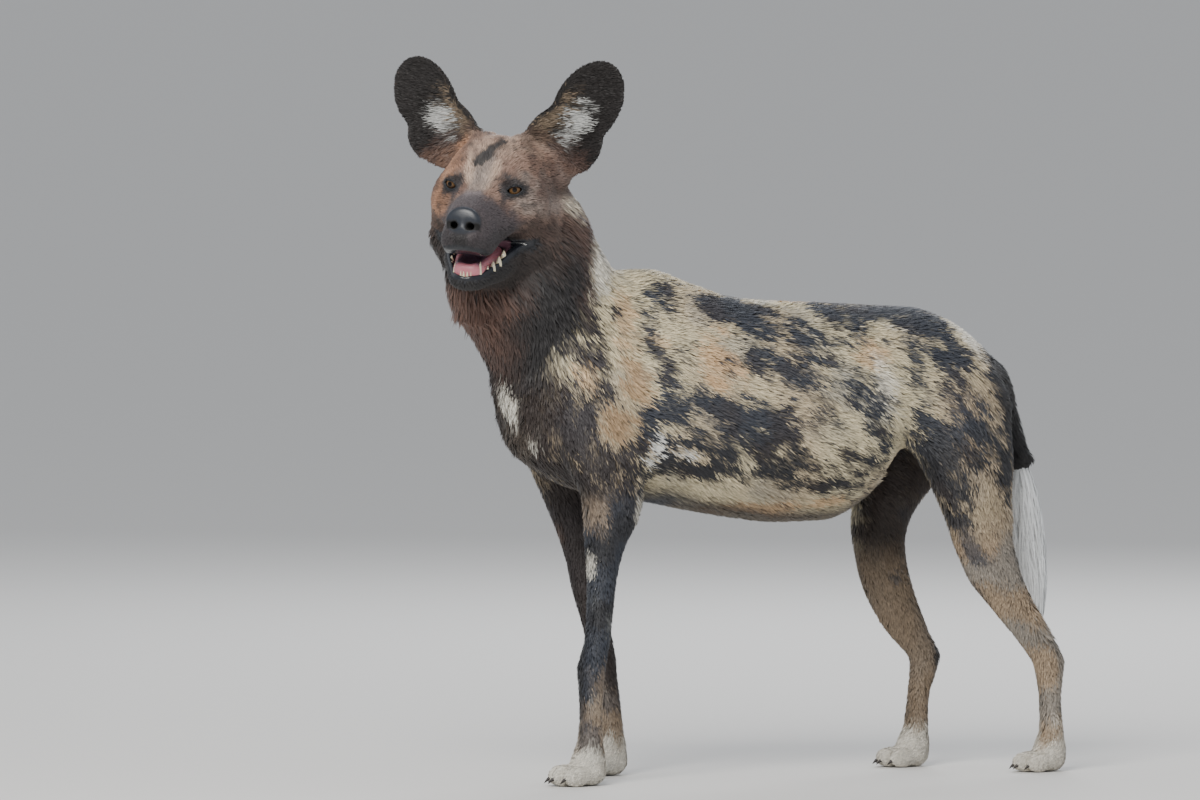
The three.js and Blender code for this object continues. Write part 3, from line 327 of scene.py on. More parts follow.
# The tail: the render's skin ends as a thin core inside the white brush.
tail_core = bar([318, 0, 500], [361, 0, 400], 30, 18)
tail_thin = blend_all([bar([361, 0, 402], [372, 0, 300], 11, 8), bar([372, 0, 300], [381, 0, 215], 8, 4)], 6)

# The head has a frame of its own: forwards, to the dog's left, upwards.
turn, down, lean = map(math.radians, (HEAD_TURN, HEAD_DOWN, HEAD_LEAN))
FORWARD = np.array([-math.cos(turn) * math.cos(down), -math.sin(turn) * math.cos(down), -math.sin(down)])
level_left = unit(np.cross([0, 0, 1], FORWARD))
level_up = np.cross(FORWARD, level_left)
LEFT = level_left * math.cos(lean) - level_up * math.sin(lean)
UP = level_up * math.cos(lean) + level_left * math.sin(lean)
HEAD = np.stack([FORWARD, LEFT, UP])


def to_head(p):
    return (p - HEAD_AT) @ HEAD.T


def from_head(q):
    return HEAD_AT + np.asarray(q, float) @ HEAD


# The skull: [forwards, low, high, middle, half width, egg].
skull = tube(0, 1, 2, 2.3, [
    [-152, -50, 12, 0, 30, 0],
    [-132, -72, 38, 0, 50, 0.1],
    [-105, -86, 54, 0, 62, 0.15],
    [-80, -92, 58, 0, 68, 0.2],
    [-58, -88, 53, 0, 71, 0.22],
    [-38, -80, 43, 0, 69, 0.22],
    [-20, -72, 30, 0, 63, 0.2],
    [-5, -69, 14, 0, 55, 0.2],
    [10, -76, 2, 0, 44, 0.2],
    [28, -81, -5, 0, 37, 0.18],
    [48, -86, -10, 0, 32, 0.15],
    [65, -85, -14, 0, 28, 0.12],
    [80, -78, -19, 0, 23.5, 0.1],
    [86, -73, -27, 0, 21, 0],
    [92, -67, -47, 0, 16, 0],
    [95, -63, -54, 0, 8, 0],
])
lower_jaw = tube(0, 1, 2, 2.2, [
    [-95, -110, -50, 0, 44, 0],
    [-60, -122, -56, 0, 54, 0],
    [-25, -129, -64, 0, 51, 0],
    [0, -131, -77, 0, 45, -0.1],
    [25, -131, -88, 0, 34, -0.1],
    [45, -130, -100, 0, 25.5, -0.05],
    [58, -128, -106, 0, 18.5, 0],
    [68, -122, -108, 0, 10, 0],
])
SIDES = (1, -1)
cheeks = [blob([-50, side * 50, -30], [42, 26, 34]) for side in SIDES]
chewing = [blob([-64, side * 44, -62], [42, 37, 44]) for side in SIDES]
flews = [blob([50, side * 17, -68], [32, 15.5, 18]) for side in SIDES]
brows = [blob([-16, side * 35, 6], [19, 15, 8]) for side in SIDES]
skull_form = blend_all([skull, blend_all(cheeks, 1), blend_all(brows, 1), blend_all(flews, 1)], 14)
jaw_form = blend_all([lower_jaw, blend_all(chewing, 1)], 14)

# The mouth: a wedge between the lips that closes at its corner, and the hollow under the palate.
MOUTH_CORNER = (-28, -75)
upper_lip = curve([-28, 5, 40, 62, 78, 95], [-72.5, -79, -85, -84, -78, -72])
lower_lip = curve([-28, -5, 25, 45, 55, 70], [-78, -85, -96, -103, -107, -110])
palate = tube(0, 1, 2, 2.4, [
    [-40, -80, -62, 0, 20, 0],
    [-15, -92, -58, 0, 34, 0],
    [10, -104, -60, 0, 36, 0],
    [35, -113, -64, 0, 26, 0],
    [55, -116, -68, 0, 17, 0],
    [66, -112, -72, 0, 8, 0],
])
tongue_body = tube(0, 1, 2, 2.2, [
    [-36, -94, -76, 0, 20, 0],
    [-18, -104, -79, 0, 28, 0],
    [10, -112, -84, 0, 27, 0],
    [32, -118, -87, 0, 22, 0],
    [48, -120, -90, 0, 19.5, 0],
    [59, -118, -96, 0, 14, 0],
])
tongue_hollow = blob([26, 0, -81], [42, 16, 18])


def mouth_wedge(q):
    f, u = q[:, 0], q[:, 2]
    return np.maximum.reduce([u - upper_lip(f), lower_lip(f) - u, MOUTH_CORNER[0] - f])


def lip_distance(q):
    """How far above or below the nearer edge of the mouth a point lies."""
    f, u = q[:, 0], q[:, 2]
    return np.minimum(np.abs(u - upper_lip(f)), np.abs(u - lower_lip(f)))


# The eyes lie in round beds under their lids, which part in an almond.
OPEN_HALF, OPEN_HIGH, OPEN_TILT = 10.5, 5.6, math.radians(8)
LID_DROP = 1.3                  # how far the skin of the upper lid hangs over the eye


def eye_frame(side):
    out = math.radians(EYE_OUT)
    gaze = np.array([math.cos(out), side * math.sin(out), 0])
    outward = np.array([-math.sin(out), side * math.cos(out), 0])
    return gaze, outward, np.array([0, side * EYE_SPREAD, EYE_LEVEL]) - gaze * EYE_RADIUS


def eye_opening(side):
    gaze, outward, centre = eye_frame(side)
    bow = (OPEN_HALF ** 2 + OPEN_HIGH ** 2) / (2 * OPEN_HIGH)

    def at(q):
        r = q - centre
        across = r @ outward * math.cos(OPEN_TILT) + r[:, 2] * math.sin(OPEN_TILT)
        high = r[:, 2] * math.cos(OPEN_TILT) - r @ outward * math.sin(OPEN_TILT)
        upper = np.hypot(across, high + bow - OPEN_HIGH + LID_DROP) - bow
        lower = np.hypot(across, high - bow + OPEN_HIGH) - bow
        return np.maximum.reduce([upper, lower, 3 - r @ gaze])
    return at


lid_beds = [blob(eye_frame(side)[2], [LID_RADIUS] * 3) for side in SIDES]
eye_openings = [eye_opening(side) for side in SIDES]

# The ears: thin cups with a broad round outline and a small pocket low on the outer edge.
EAR_BASE, EAR_THICK, EAR_CUP = (-88, 63, 33), 3.4, 20
EAR_LEAN = {1: 28, -1: 30}
EAR_REACH = {1: 1.03, -1: 0.92}


def ear_outline(along, across):
    leaf = section(along - 77, across - 9, 59, 41, 0, 2)
    foot = section(along - 14, across - 3, 50, 44, 0, 2)
    lobe = section(along - 27, across - 20, 38, 34, 0, 2)
    pocket = section(along - 50, across - 60, 8, 8, 0, 2)
    return carve(blend(blend(leaf, foot, 10), lobe, 8), pocket, 3)


def ear_hollow(along, across):
    deep = EAR_CUP * (1 - 0.55 * np.clip(along / 134, 0, 1))
    return -deep * (1 - (across / 48) ** 2) + 5


class Ear:
    def __init__(self, side):
        tilt = math.radians(EAR_LEAN[side])
        axis = unit([-0.03, side * math.sin(tilt), math.cos(tilt)])
        facing = unit([0.95, side * 0.3, 0.02])
        across = unit(np.cross(axis, facing)) * side
        self.side = side
        self.rows = np.stack([axis, across, -side * np.cross(axis, across)])
        self.base = np.array([EAR_BASE[0], side * EAR_BASE[1], EAR_BASE[2]], float)
        self.canal_form = blob([10, 2, 6], [26, 17, 12])

    def local(self, q):
        r = (q - self.base) @ self.rows.T
        return r / np.array([EAR_REACH[self.side], 1, 1])

    def shell(self, q):
        r = self.local(q)
        thick = EAR_THICK + 2 * np.clip(1 - r[:, 0] / 60, 0, 1)
        sheet = np.abs(r[:, 2] - ear_hollow(r[:, 0], r[:, 1])) / 1.15 - thick
        return within(sheet, ear_outline(r[:, 0], r[:, 1]), 5)

    def canal(self, q):
        return self.canal_form(self.local(q))


ears = [Ear(side) for side in SIDES]

# The nose pad with its comma-shaped nostrils and the groove below.
pad = blob([84, 0, -38], [15, 23.5, 18.5])
nostrils = [bar([99, side * 11, -41], [86, side * 25, -45], 5, 2.8) for side in SIDES]
nostril_depths = [bar([98, side * 9.5, -42], [78, side * 12, -45], 4.6, 3.2) for side in SIDES]
groove = bar([101, 0, -48], [95, 0, -74], 1.6, 1.6)


def head_bare(q):
    return blend(skull_form(q), jaw_form(q), 10)


def head_form(q):
    d = head_bare(q)
    for bed in lid_beds:
        d = blend(d, bed(q), 8)
    for ear in ears:
        d = blend(d, ear.shell(q), 12)
    for ear in ears:
        d = carve(d, ear.canal(q), 6)
    d = carve(d, mouth_wedge(q), 2)
    d = carve(d, palate(q), 4)
    d = blend(d, nose_form(q), 3)
    for hole in nostrils + nostril_depths:
        d = carve(d, hole(q), 2)
    for opening in eye_openings:
        d = carve(d, opening(q), 1.5)
    return carve(d, groove(q), 2)


def nose_form(q):
    d = pad(q)
    for hole in nostrils:
        d = carve(d, hole(q), 3)
    return d


limbs = [fore_near, fore_far, hind_near, hind_far]


def body_form(p):
    d = blend(trunk(p), neck(p), 36)
    for one in limbs:
        d = blend(d, one(p), 22)
    for one in paws:
        d = blend(d, one(p), 8)
    d = blend(d, tail_core(p), 16)
    d = blend(d, tail_thin(p), 6)
    return np.maximum(d, -p[:, 2])


def whole_form(p):
    body = body_form(p)
    q = to_head(p)
    near = np.linalg.norm(q, axis=1) < 340
    if near.any():
        part = q[near]
        soft = 20 * np.clip(1 - (part[:, 0] + 60) / 60, 0.02, 1)
        body[near] = blend(body[near], head_form(part), soft)
    return body


def steepest(form, p, step=0.5):
    g = np.zeros_like(p)
    for i in range(3):
        move = np.zeros(3)
        move[i] = step
        g[:, i] = (form(p + move) - form(p - move)) / (2 * step)
    return g


# How deep the skin lies under the tips of the coat.
def coat_depth(p):
    x, y, z = p.T
    q = to_head(p)
    f = q[:, 0]
    ruff = smooth((z - 470) / 60) * smooth((-215 - x) / 50)
    depth = 6.0 + 5.0 * ruff
    legs = smooth((330 - z) / 120)
    depth = toward(depth, 2.6, legs)
    feet = smooth((80 - z) / 50)
    depth = toward(depth, 0.8, feet)
    face = smooth((12 - head_bare(q)) / 12) * smooth((f + 110) / 70)
    depth = toward(depth, 1.8, face)
    bald = smooth((f - 20) / 40) * face
    depth = toward(depth, 0.7, bald)
    rim = np.minimum(np.abs(mouth_wedge(q)), np.abs(palate(q)))
    for opening in eye_openings:
        rim = np.minimum(rim, np.abs(opening(q)))
    depth = depth * smooth(rim / 9 + 0.05)
    for ear in ears:
        r = ear.local(q)
        on_ear = smooth((r[:, 0] + 44) / 20) * smooth((16 - ear_outline(r[:, 0], r[:, 1])) / 12)
        on_ear = on_ear * smooth((38 - np.abs(r[:, 2])) / 10)
        depth = toward(depth, 1.0, on_ear)
    brush = smooth((x - 330) / 10) * smooth((410 - z) / 14) * smooth((45 - np.abs(y)) / 6)
    return depth * (1 - brush)


# The skin is one surface, found on a grid that is finest at the face.
def steps(start, *stretches):
    places = [start]
    for end, step in stretches:
        count = max(1, round((end - places[-1]) / step))
        places.extend(np.linspace(places[-1], end, count + 1)[1:])
    return np.array(places)


GRID = [
    steps(-503, (-385, 2.2), (-240, 3.1), (456, 6.4)),
    steps(-190, (-60, 2.2), (66, 3.1), (112, 3.4), (154, 6)),
    steps(-9, (60, 3), (620, 6.4), (800, 2.2), (938, 3.1)),
]
COARSE = 4                      # every fourth plane is looked at first
BAND = 30.0                     # the fine grid is only filled this near the surface
AT_ONCE = 400000                # how many points are worked out together, to spare memory


def depth_form(p):
    return whole_form(p) + coat_depth(p)


def fill_grid(form):
    shape = tuple(len(axis) for axis in GRID)
    corners = [np.unique(np.append(np.arange(0, n, COARSE), n - 1)) for n in shape]
    mesh = np.meshgrid(*[axis[i] for axis, i in zip(GRID, corners)], indexing="ij")
    rough = form(np.stack([m.ravel() for m in mesh], 1)).reshape(mesh[0].shape)
    nearest = [np.searchsorted((c[1:] + c[:-1]) / 2, np.arange(n)) for c, n in zip(corners, shape)]
    value = rough[np.ix_(*nearest)].astype(np.float32)
    close = np.nonzero(np.abs(value) < BAND)
    for start in range(0, len(close[0]), AT_ONCE):
        i, j, k = [axis[start:start + AT_ONCE] for axis in close]
        p = np.stack([GRID[0][i], GRID[1][j], GRID[2][k]], 1)
        value[i, j, k] = form(p)
    for axis in range(3):
        edge = [slice(None)] * 3
        for end in (0, -1):
            edge[axis] = end
            value[tuple(edge)] = np.maximum(value[tuple(edge)], 1.0)
    return value


def surface_nets(value, grid):
    """One point for each crossed cell, joined by a quad for each crossed edge."""
    inside = value < 0
    shape = np.array(value.shape)
    count = np.zeros(shape - 1, np.int8)
    for i in (0, 1):
        for j in (0, 1):
            for k in (0, 1):
                count += inside[i:shape[0] - 1 + i, j:shape[1] - 1 + j, k:shape[2] - 1 + k]
    crossed = (count > 0) & (count < 8)
    cells = np.stack(np.nonzero(crossed), 1)
    index = np.full(crossed.shape, -1, np.int64)
    index[crossed] = np.arange(len(cells))
    total = np.zeros((len(cells), 3))
    hits = np.zeros(len(cells))
    for axis in range(3):
        others = [a for a in range(3) if a != axis]
        for b in (0, 1):
            for c in (0, 1):
                low = cells.copy()
                low[:, others[0]] += b
                low[:, others[1]] += c
                high = low.copy()
                high[:, axis] += 1
                d0 = value[tuple(low.T)].astype(float)
                d1 = value[tuple(high.T)].astype(float)
                cut = (d0 < 0) != (d1 < 0)
                part = np.where(cut, d0 / np.where(d0 == d1, 1, d0 - d1), 0)
                place = low.astype(float)
                place[:, axis] += part
                total += place * cut[:, None]
                hits += cut
    points = total / hits[:, None]
    points = np.stack([np.interp(points[:, a], np.arange(shape[a]), grid[a]) for a in range(3)], 1)
    quads = []
    for axis in range(3):
        one, two = (axis + 1) % 3, (axis + 2) % 3
        first = [slice(None)] * 3
        second = [slice(None)] * 3
        first[axis] = slice(0, -1)
        second[axis] = slice(1, None)
        at = np.stack(np.nonzero(inside[tuple(first)] != inside[tuple(second)]), 1)
        framed = (at[:, one] > 0) & (at[:, two] > 0)
        at = at[framed & (at[:, one] < shape[one] - 1) & (at[:, two] < shape[two] - 1)]
        step1 = np.eye(3, dtype=int)[one]
        step2 = np.eye(3, dtype=int)[two]
        quad = np.stack([index[tuple((at - move).T)] for move in (step1 + step2, step2, 0 * step1, step1)], 1)
        turned = ~inside[tuple(at.T)]
        quad[turned] = quad[turned][:, ::-1]
        quads.append(quad)
    return points, np.concatenate(quads)


def largest_part(points, quads):
    """Keeps the points and quads that hang together with the most others."""
    label = np.arange(len(points))
    edges = np.concatenate([quads[:, [0, 1]], quads[:, [1, 2]], quads[:, [2, 3]], quads[:, [3, 0]]])
    while True:
        before = label.copy()
        low = np.minimum(label[edges[:, 0]], label[edges[:, 1]])
        np.minimum.at(label, edges[:, 0], low)
        np.minimum.at(label, edges[:, 1], low)
        label = label[label]
        if (label == before).all():
            break
    main = np.bincount(label).argmax()
    keep = label == main
    number = np.cumsum(keep) - 1
    quads = quads[keep[quads[:, 0]]]
    return points[keep], number[quads]


def settle_points(form, points, turns=2):
    for _ in range(turns):
        value = form(points)
        g = steepest(form, points)
        size = np.maximum((g * g).sum(1), 0.15)
        move = -(value / size)[:, None] * g
        far = np.linalg.norm(move, axis=1, keepdims=True)
        points = points + move * np.minimum(1, 1.2 / np.maximum(far, 1e-9))
    return points


def vertex_normals(points, quads):
    a, b, c, d = [points[quads[:, i]] for i in range(4)]
    face = np.cross(c - a, d - b)
    normals = np.zeros_like(points)
    for i in range(4):
        np.add.at(normals, quads[:, i], face)
    return unit(normals)


def to_world(points):
    return (points + PLACE) / 1000


def new_mesh(name, points, faces, smooth_shading=True):
    """A mesh object from points in millimetres and an array of faces with one count of corners, or a list."""
    mesh = bpy.data.meshes.new(name)
    if isinstance(faces, list):
        mesh.from_pydata(to_world(points).tolist(), [], [tuple(map(int, f)) for f in faces])
    else:
        size = faces.shape[1]
        mesh.vertices.add(len(points))
        mesh.vertices.foreach_set("co", to_world(points).astype(np.float32).ravel())
        mesh.loops.add(faces.size)
        mesh.loops.foreach_set("vertex_index", faces.astype(np.int32).ravel())
        mesh.polygons.add(len(faces))
        mesh.polygons.foreach_set("loop_start", np.arange(0, faces.size, size, dtype=np.int32))
        mesh.update(calc_edges=True)
    mesh.polygons.foreach_set("use_smooth", np.full(len(mesh.polygons), smooth_shading))
    piece = bpy.data.objects.new(name, mesh)
    bpy.context.scene.collection.objects.link(piece)
    return piece


value = fill_grid(depth_form)
skin_points, skin_quads = surface_nets(value, GRID)
skin_points, skin_quads = largest_part(skin_points, skin_quads)
skin_points = settle_points(depth_form, skin_points)
skin_normals = vertex_normals(skin_points, skin_quads)


# Colours, as seen (sRGB, 0 to 255).
def linear(colour):
    c = np.asarray(colour, float) / 255
    return np.where(c <= 0.04045, c / 12.92, ((c + 0.055) / 1.055) ** 2.4)


CREAM = linear((204, 192, 160))
PALE = linear((226, 222, 210))
TAN = linear((204, 166, 122))
GREY = linear((140, 142, 140))
SLATE = linear((52, 57, 68))
BLACK = linear((30, 28, 29))
BROWN = linear((72, 54, 47))
UMBER = linear((46, 36, 32))
RUFF_RED = linear((110, 82, 70))
WHITE = linear((240, 241, 238))
FAWN = linear((172, 150, 124))
ROSE = linear((172, 142, 128))
DUSK = linear((70, 64, 68))
MUZZLE_TOP = linear((134, 124, 126))
FACE_GREY = linear((158, 148, 140))
FACE_BROWN = linear((134, 108, 94))
FACE_CREAM = linear((176, 152, 134))
FACE_TAN = linear((178, 132, 100))
LIP_BLACK = linear((26, 29, 36))
MOUTH_PINK = linear((132, 92, 106))
MOUTH_DARK = linear((92, 62, 74))
NOSE_BLACK = linear((34, 38, 46))

# Dark clouds of the left side, where dark hairs crowd, with painted shadows behind the elbow and in the fold
# between flank and thigh: [x, z, half length, half height, tilt, strength].
CLOUDS = [
    [-168, 622, 14, 28, -70, 0.85],
    [-146, 548, 16, 14, -20, 0.6],
    [-55, 597, 48, 18, -20, 0.9],
    [8, 576, 48, 20, -22, 0.7],
    [-20, 534, 48, 17, -18, 0.9],
    [34, 550, 30, 14, -20, 0.7],
    [-100, 600, 20, 14, -20, 0.5],
    [112, 598, 60, 15, -3, 0.95],
    [84, 576, 26, 20, -10, 0.65],
    [206, 580, 46, 30, -35, 1.0],
    [232, 540, 30, 22, -30, 0.85],
    [318, 500, 24, 62, 14, 1.0],
    [228, 497, 20, 16, 0, 0.65],
    # Painted shadow in the fold between the flank and the thigh.
    [176, 515, 13, 42, 8, 0.6],
    [250, 457, 24, 32, 0, 0.75],
    [238, 430, 52, 22, -8, 0.9],
    [308, 425, 24, 36, 10, 0.9],
    [222, 386, 28, 32, -35, 0.95],
    [236, 345, 12, 34, 14, 0.9],
    [297, 386, 18, 26, -10, 0.75],
    [190, 444, 15, 34, 12, 0.75],
    [-108, 487, 46, 18, -10, 0.75],
    [-50, 457, 74, 28, -8, 0.9],
    [-150, 421, 52, 24, -6, 1.0],
    [-56, 412, 60, 18, -2, 0.7],
    [-184, 510, 20, 72, 6, 0.85],
    [-170, 484, 30, 20, 0, 0.85],
    [-225, 440, 36, 54, 14, 0.92],
    [-268, 428, 36, 50, 8, 0.85],
    [-302, 470, 26, 52, 10, 0.8],
    [-258, 500, 44, 24, 14, 0.55],
    [-262, 560, 14, 56, 20, 0.45],
    [-292, 600, 26, 60, 24, 0.55],
    [-262, 645, 14, 46, 30, 0.5],
    [70, 500, 50, 34, -20, 0.42],
    [118, 470, 22, 46, 20, 0.5],
    [90, 396, 42, 30, 15, 0.5],
    [0, 396, 90, 18, -4, 0.5],
    [-262, 380, 40, 40, 0, 0.7],
    [-300, 420, 24, 60, 0, 0.75],
]
# Light and tan places of the left side: [x, z, half length, half height, tilt, colour, strength].
BLOTCHES = [
    [70, 500, 42, 26, -10, GREY, 0.45],
    [116, 462, 24, 30, 30, GREY, 0.5],
    [-94, 545, 42, 27, -30, TAN, 0.75],
    [-106, 517, 22, 16, -30, TAN, 0.8],
    [-222, 590, 18, 44, 8, TAN, 0.6],
    [-286, 545, 22, 34, 14, TAN, 0.6],
    [112, 545, 24, 16, -10, TAN, 0.6],
    [-180, 566, 14, 20, 0, TAN, 0.5],
    [-214, 520, 30, 36, 0, TAN * 0.7, 0.8],
    [-240, 468, 26, 30, 0, TAN * 0.55, 0.78],
    [-205, 440, 16, 26, 0, TAN * 0.6, 0.6],
    [-20, 352, 90, 10, 3, TAN, 0.7],
    [270, 566, 32, 22, -38, PALE, 0.85],
    [36, 612, 70, 7, 0, PALE, 0.8],
    [-60, 616, 30, 7, -8, PALE, 0.7],
    [130, 502, 20, 40, 6, PALE, 0.7],
    [168, 575, 22, 9, -10, PALE, 0.6],
    [-256, 664, 24, 28, 30, PALE, 0.8],
    [-188, 432, 8, 30, -24, WHITE * 0.8, 0.95],
    [-142, 424, 26, 6, -8, WHITE * 0.7, 0.85],
]
# Blotches of the front of the chest, all in three coordinates: centre, radii, colour, strength.
CHEST = [
    [(-352, -20, 500), (20, 22, 34), PALE, 0.95],
    [(-336, -74, 442), (14, 40, 34), PALE, 0.85],
    [(-350, -52, 452), (20, 14, 12), ROSE, 0.7],
    [(-340, -52, 478), (40, 16, 40), UMBER, 0.95],
    [(-335, 40, 470), (30, 40, 60), UMBER, 0.9],
    [(-345, 45, 505), (20, 16, 26), PALE, 0.8],
]


def mixed(base, colour, weight):
    return base + (colour - base) * weight[:, None]


def away_from(p, x, z, length, height, tilt):
    """How far points lie from a tilted oval of the side: 1 at its edge."""
    across, up = p[:, 0] - x, p[:, 2] - z
    c, s = math.cos(math.radians(tilt)), math.sin(math.radians(tilt))
    return np.hypot((across * c + up * s) / length, (up * c - across * s) / height)


def streaks(p, size, seed):
    """Noise drawn out along the lie of the fur on the sides."""
    c, s = 0.876, 0.48              # the cosine and the sine of the lie's slope
    along = c * p[:, 0] - s * p[:, 2]
    across = s * p[:, 0] + c * p[:, 2]
    return noise(np.stack([along * 0.3, p[:, 1] * 0.6, across], 1), size, seed)


def add_blotch(colour, p, side_weight, blotch, seed):
    """Paints one light or tan place with a ragged edge on the points near it."""
    *oval, tint, strength = blotch
    away = away_from(p, *oval)
    near = np.nonzero((away < 2.0) & (side_weight > 0))[0]
    some = p[near]
    ragged = 0.4 * noise(some, 24, seed) + 0.5 * streaks(some, 6, seed + 1)
    weight = strength * smooth((1.1 - away[near] + ragged) / 0.6) * side_weight[near]
    colour[near] = mixed(colour[near], tint, weight)


def random_side():
    """The right side isn't seen, so its pattern is drawn by chance in the manner of the left."""
    draw = np.random.default_rng(SEED)
    clouds, blotches = [], []
    for x in np.arange(-310, 330, 42.0):
        for z in np.arange(350, 650, 44.0):
            oval = [x + draw.uniform(-20, 20), z + draw.uniform(-18, 18), draw.uniform(18, 50),
                    draw.uniform(12, 30), draw.uniform(-40, 10)]
            kind = draw.random()
            if kind < 0.5:
                clouds.append(oval + [draw.uniform(0.6, 1)])
            elif kind < 0.68:
                blotches.append(oval + [TAN if kind < 0.6 else PALE, draw.uniform(0.6, 0.9)])
    return clouds, blotches


def paint_body(p):
    x, y, z = p.T
    lumps = noise(p, 60, 3)
    fine = streaks(p, 5.5, 60)
    colour = np.tile(CREAM, (len(p), 1))
    colour = mixed(colour, FAWN, 0.5 * smooth(lumps * 1.2))
    colour = mixed(colour, GREY, 0.4 * smooth(noise(p, 38, 4) * 1.3 - 0.1))
    limb_base = np.maximum(smooth((x - 175) / 50), smooth((-190 - x) / 50)) * smooth((565 - z) / 90)
    colour = mixed(colour, FAWN * 0.7, 0.7 * limb_base)
    left = smooth((-y + 12) / 30)
    right_clouds, right_blotches = random_side()
    clear = np.full(len(p), 0.8)
    for clouds, side_weight in ((CLOUDS, left), (right_clouds, 1 - left)):
        for *oval, strength in clouds:
            clear *= 1 - side_weight * strength * smooth((1.75 - away_from(p, *oval)) / 1.15)
    for blotches, side_weight in ((BLOTCHES, left), (right_blotches, 1 - left)):
        for seed, blotch in enumerate(blotches):
            add_blotch(colour, p, side_weight, blotch, 20 + seed % 7)
            if blotch[-1] > 0.75:
                clear = np.maximum(clear, side_weight * smooth((1.3 - away_from(p, *blotch[:5])) / 0.5))
    mixed_hairs = streaks(p, 2.6, 65)
    dark = smooth((0.66 - clear + 0.44 * fine + 0.24 * noise(p, 17, 61) + 0.26 * mixed_hairs) / 0.5)
    low = smooth((480 - z) / 90 + 0.4 * noise(p, 50, 62))
    tone = mixed(np.tile(SLATE * 0.8, (len(p), 1)), BLACK, 0.75 * low)
    tone = mixed(tone, UMBER * 1.2, 0.4 * smooth(noise(p, 30, 63) * 2))
    tone = mixed(tone, UMBER * 1.1, 0.6 * smooth((-195 - x) / 50))
    rear = smooth((1.35 - away_from(p, 330, 498, 34, 70, 14)) / 0.4)
    dark = np.maximum(dark, 0.96 * rear)
    tone = mixed(tone, BLACK * 0.8, 0.8 * rear)
    colour = toward(colour, tone, dark[:, None])
    front = smooth((-298 - x + 10 * noise(p, 26, 64)) / 25) * smooth((565 - z) / 40)
    colour = mixed(colour, UMBER, 0.9 * front)
    belly = smooth((384 - z + 14 * fine) / 26) * smooth((x + 210) / 40) * smooth((240 - x) / 60)
    belly = belly * smooth((78 - np.abs(y)) / 30)
    colour = mixed(colour, UMBER * 1.2, 0.85 * belly)
    # Painted shade: the inner sides of the far legs, under the body, are darkened to umber.
    inner = smooth((72 - y) / 20) * smooth((y - 4) / 10) * smooth((446 - z + 20 * noise(p, 20, 66)) / 40)
    inner = inner * np.maximum(smooth((x - 130) / 40), smooth((-150 - x) / 30))
    return mixed(colour, UMBER * 1.1, 0.92 * inner)


def paint_legs(p, colour):
    """Lower legs: mottled, with dark fronts and pale feet."""
    x, y, z = p.T
    fore = smooth((-125 - x) / 30)
    hind = smooth((x - 105) / 30)
    near = y < 0
    # Front legs: dark slate with a tan front edge, pale below the wrist.
    low = smooth((395 - z) / 40)
    far_middle = np.interp(z, [30, 60, 90, 147, 235, 277, 340, 400],
                           [-176, -176, -178, -188, -206, -213, -222, -238])
    near_middle = np.interp(z, [30, 147, 235, 277, 340, 400], [-266, -264, -252, -249, -238, -244])
    middle = np.where(near, near_middle, far_middle)
    front = smooth((middle - 9 - x) / 12)
    tint = np.tile(SLATE * 0.8, (len(p), 1))
    tint = mixed(tint, BLACK, 0.7 * smooth(noise(p, 40, 5) * 2 + 0.4))
    tint = mixed(tint, UMBER, 0.85 * smooth((y - 20) / 20))
    high = np.where(near, smooth((z - 320 + 26 * noise(p, 9, 67)) / 30), 0)
    tint = mixed(tint, FAWN, 0.5 * front * high * smooth((400 - z) / 30))
    edge = smooth((middle - 24 - x + 3 * noise(p, 12, 69)) / 8)
    tint = mixed(tint, FACE_TAN * 0.7, 0.7 * edge * ~near * smooth((340 - z) / 60))
    patch = np.hypot((x + 273) / 8, (z - 282) / 18) + 0.3 * noise(p, 10, 47)
    tint = mixed(tint, PALE * 0.9, 0.85 * smooth((1.2 - patch) / 0.4) * near)
    patch = np.hypot((x + 208) / 9, (z - 352) / 20) + 0.4 * noise(p, 10, 48)
    tint = mixed(tint, PALE * 0.8, 0.8 * smooth((1.2 - patch) / 0.5) * near)
    tint = mixed(tint, GREY * 0.8, 0.6 * smooth((noise(p, 34, 6) - 0.3) * 4) * smooth((260 - z) / 60))
    tint = mixed(tint, FAWN * 0.8, 0.7 * smooth((136 - z + 40 * noise(p, 40, 7) + 16 * noise(p, 9, 68)) / 50))
    tint = mixed(tint, SLATE, 0.6 * smooth((noise(p, 26, 8) - 0.1) * 4) * smooth((165 - z) / 40))
    tint = mixed(tint, PALE, 0.85 * smooth((62 - z + 22 * noise(p, 22, 9)) / 26))
    colour = mixed(colour, tint, low * fore)
    # Hind legs: fawn grey, with dark blotches at the thigh's edge and the hock.
    low = smooth((352 - z + 30 * noise(p, 24, 70)) / 60)
    tint = np.tile(FAWN * 0.84, (len(p), 1))
    tint = mixed(tint, FAWN * 0.45, 0.6 * smooth(streaks(p, 4, 71) * 1.6 - 0.1))
    tint = mixed(tint, GREY * 0.8, 0.6 * smooth(noise(p, 44, 10) * 2))
    # The far hind leg is painted darker: grey-brown below, and nearly umber at its top as painted shade under
    # the body.
    far = smooth((y + 10) / 30)
    tint = mixed(tint, FAWN * 0.42, 0.8 * far)
    tint = mixed(tint, UMBER * 0.8, 0.95 * far * smooth((z - 250) / 60))
    tint = mixed(tint, SLATE, 0.8 * smooth((noise(p, 32, 11) - 0.28) * 4) * smooth((z - 210) / 50))
    hock_x = np.where(near, 398, 268)
    hock = np.exp(-((z - 146) / 20) ** 2) * smooth((x - hock_x + 8) / 14)
    tint = mixed(tint, BLACK, 0.95 * smooth(hock * 1.6 - 0.3 + 0.3 * noise(p, 18, 12)))
    tint = mixed(tint, PALE, 0.8 * smooth((66 - z + 24 * noise(p, 22, 13)) / 26))
    return mixed(colour, tint, low * hind)


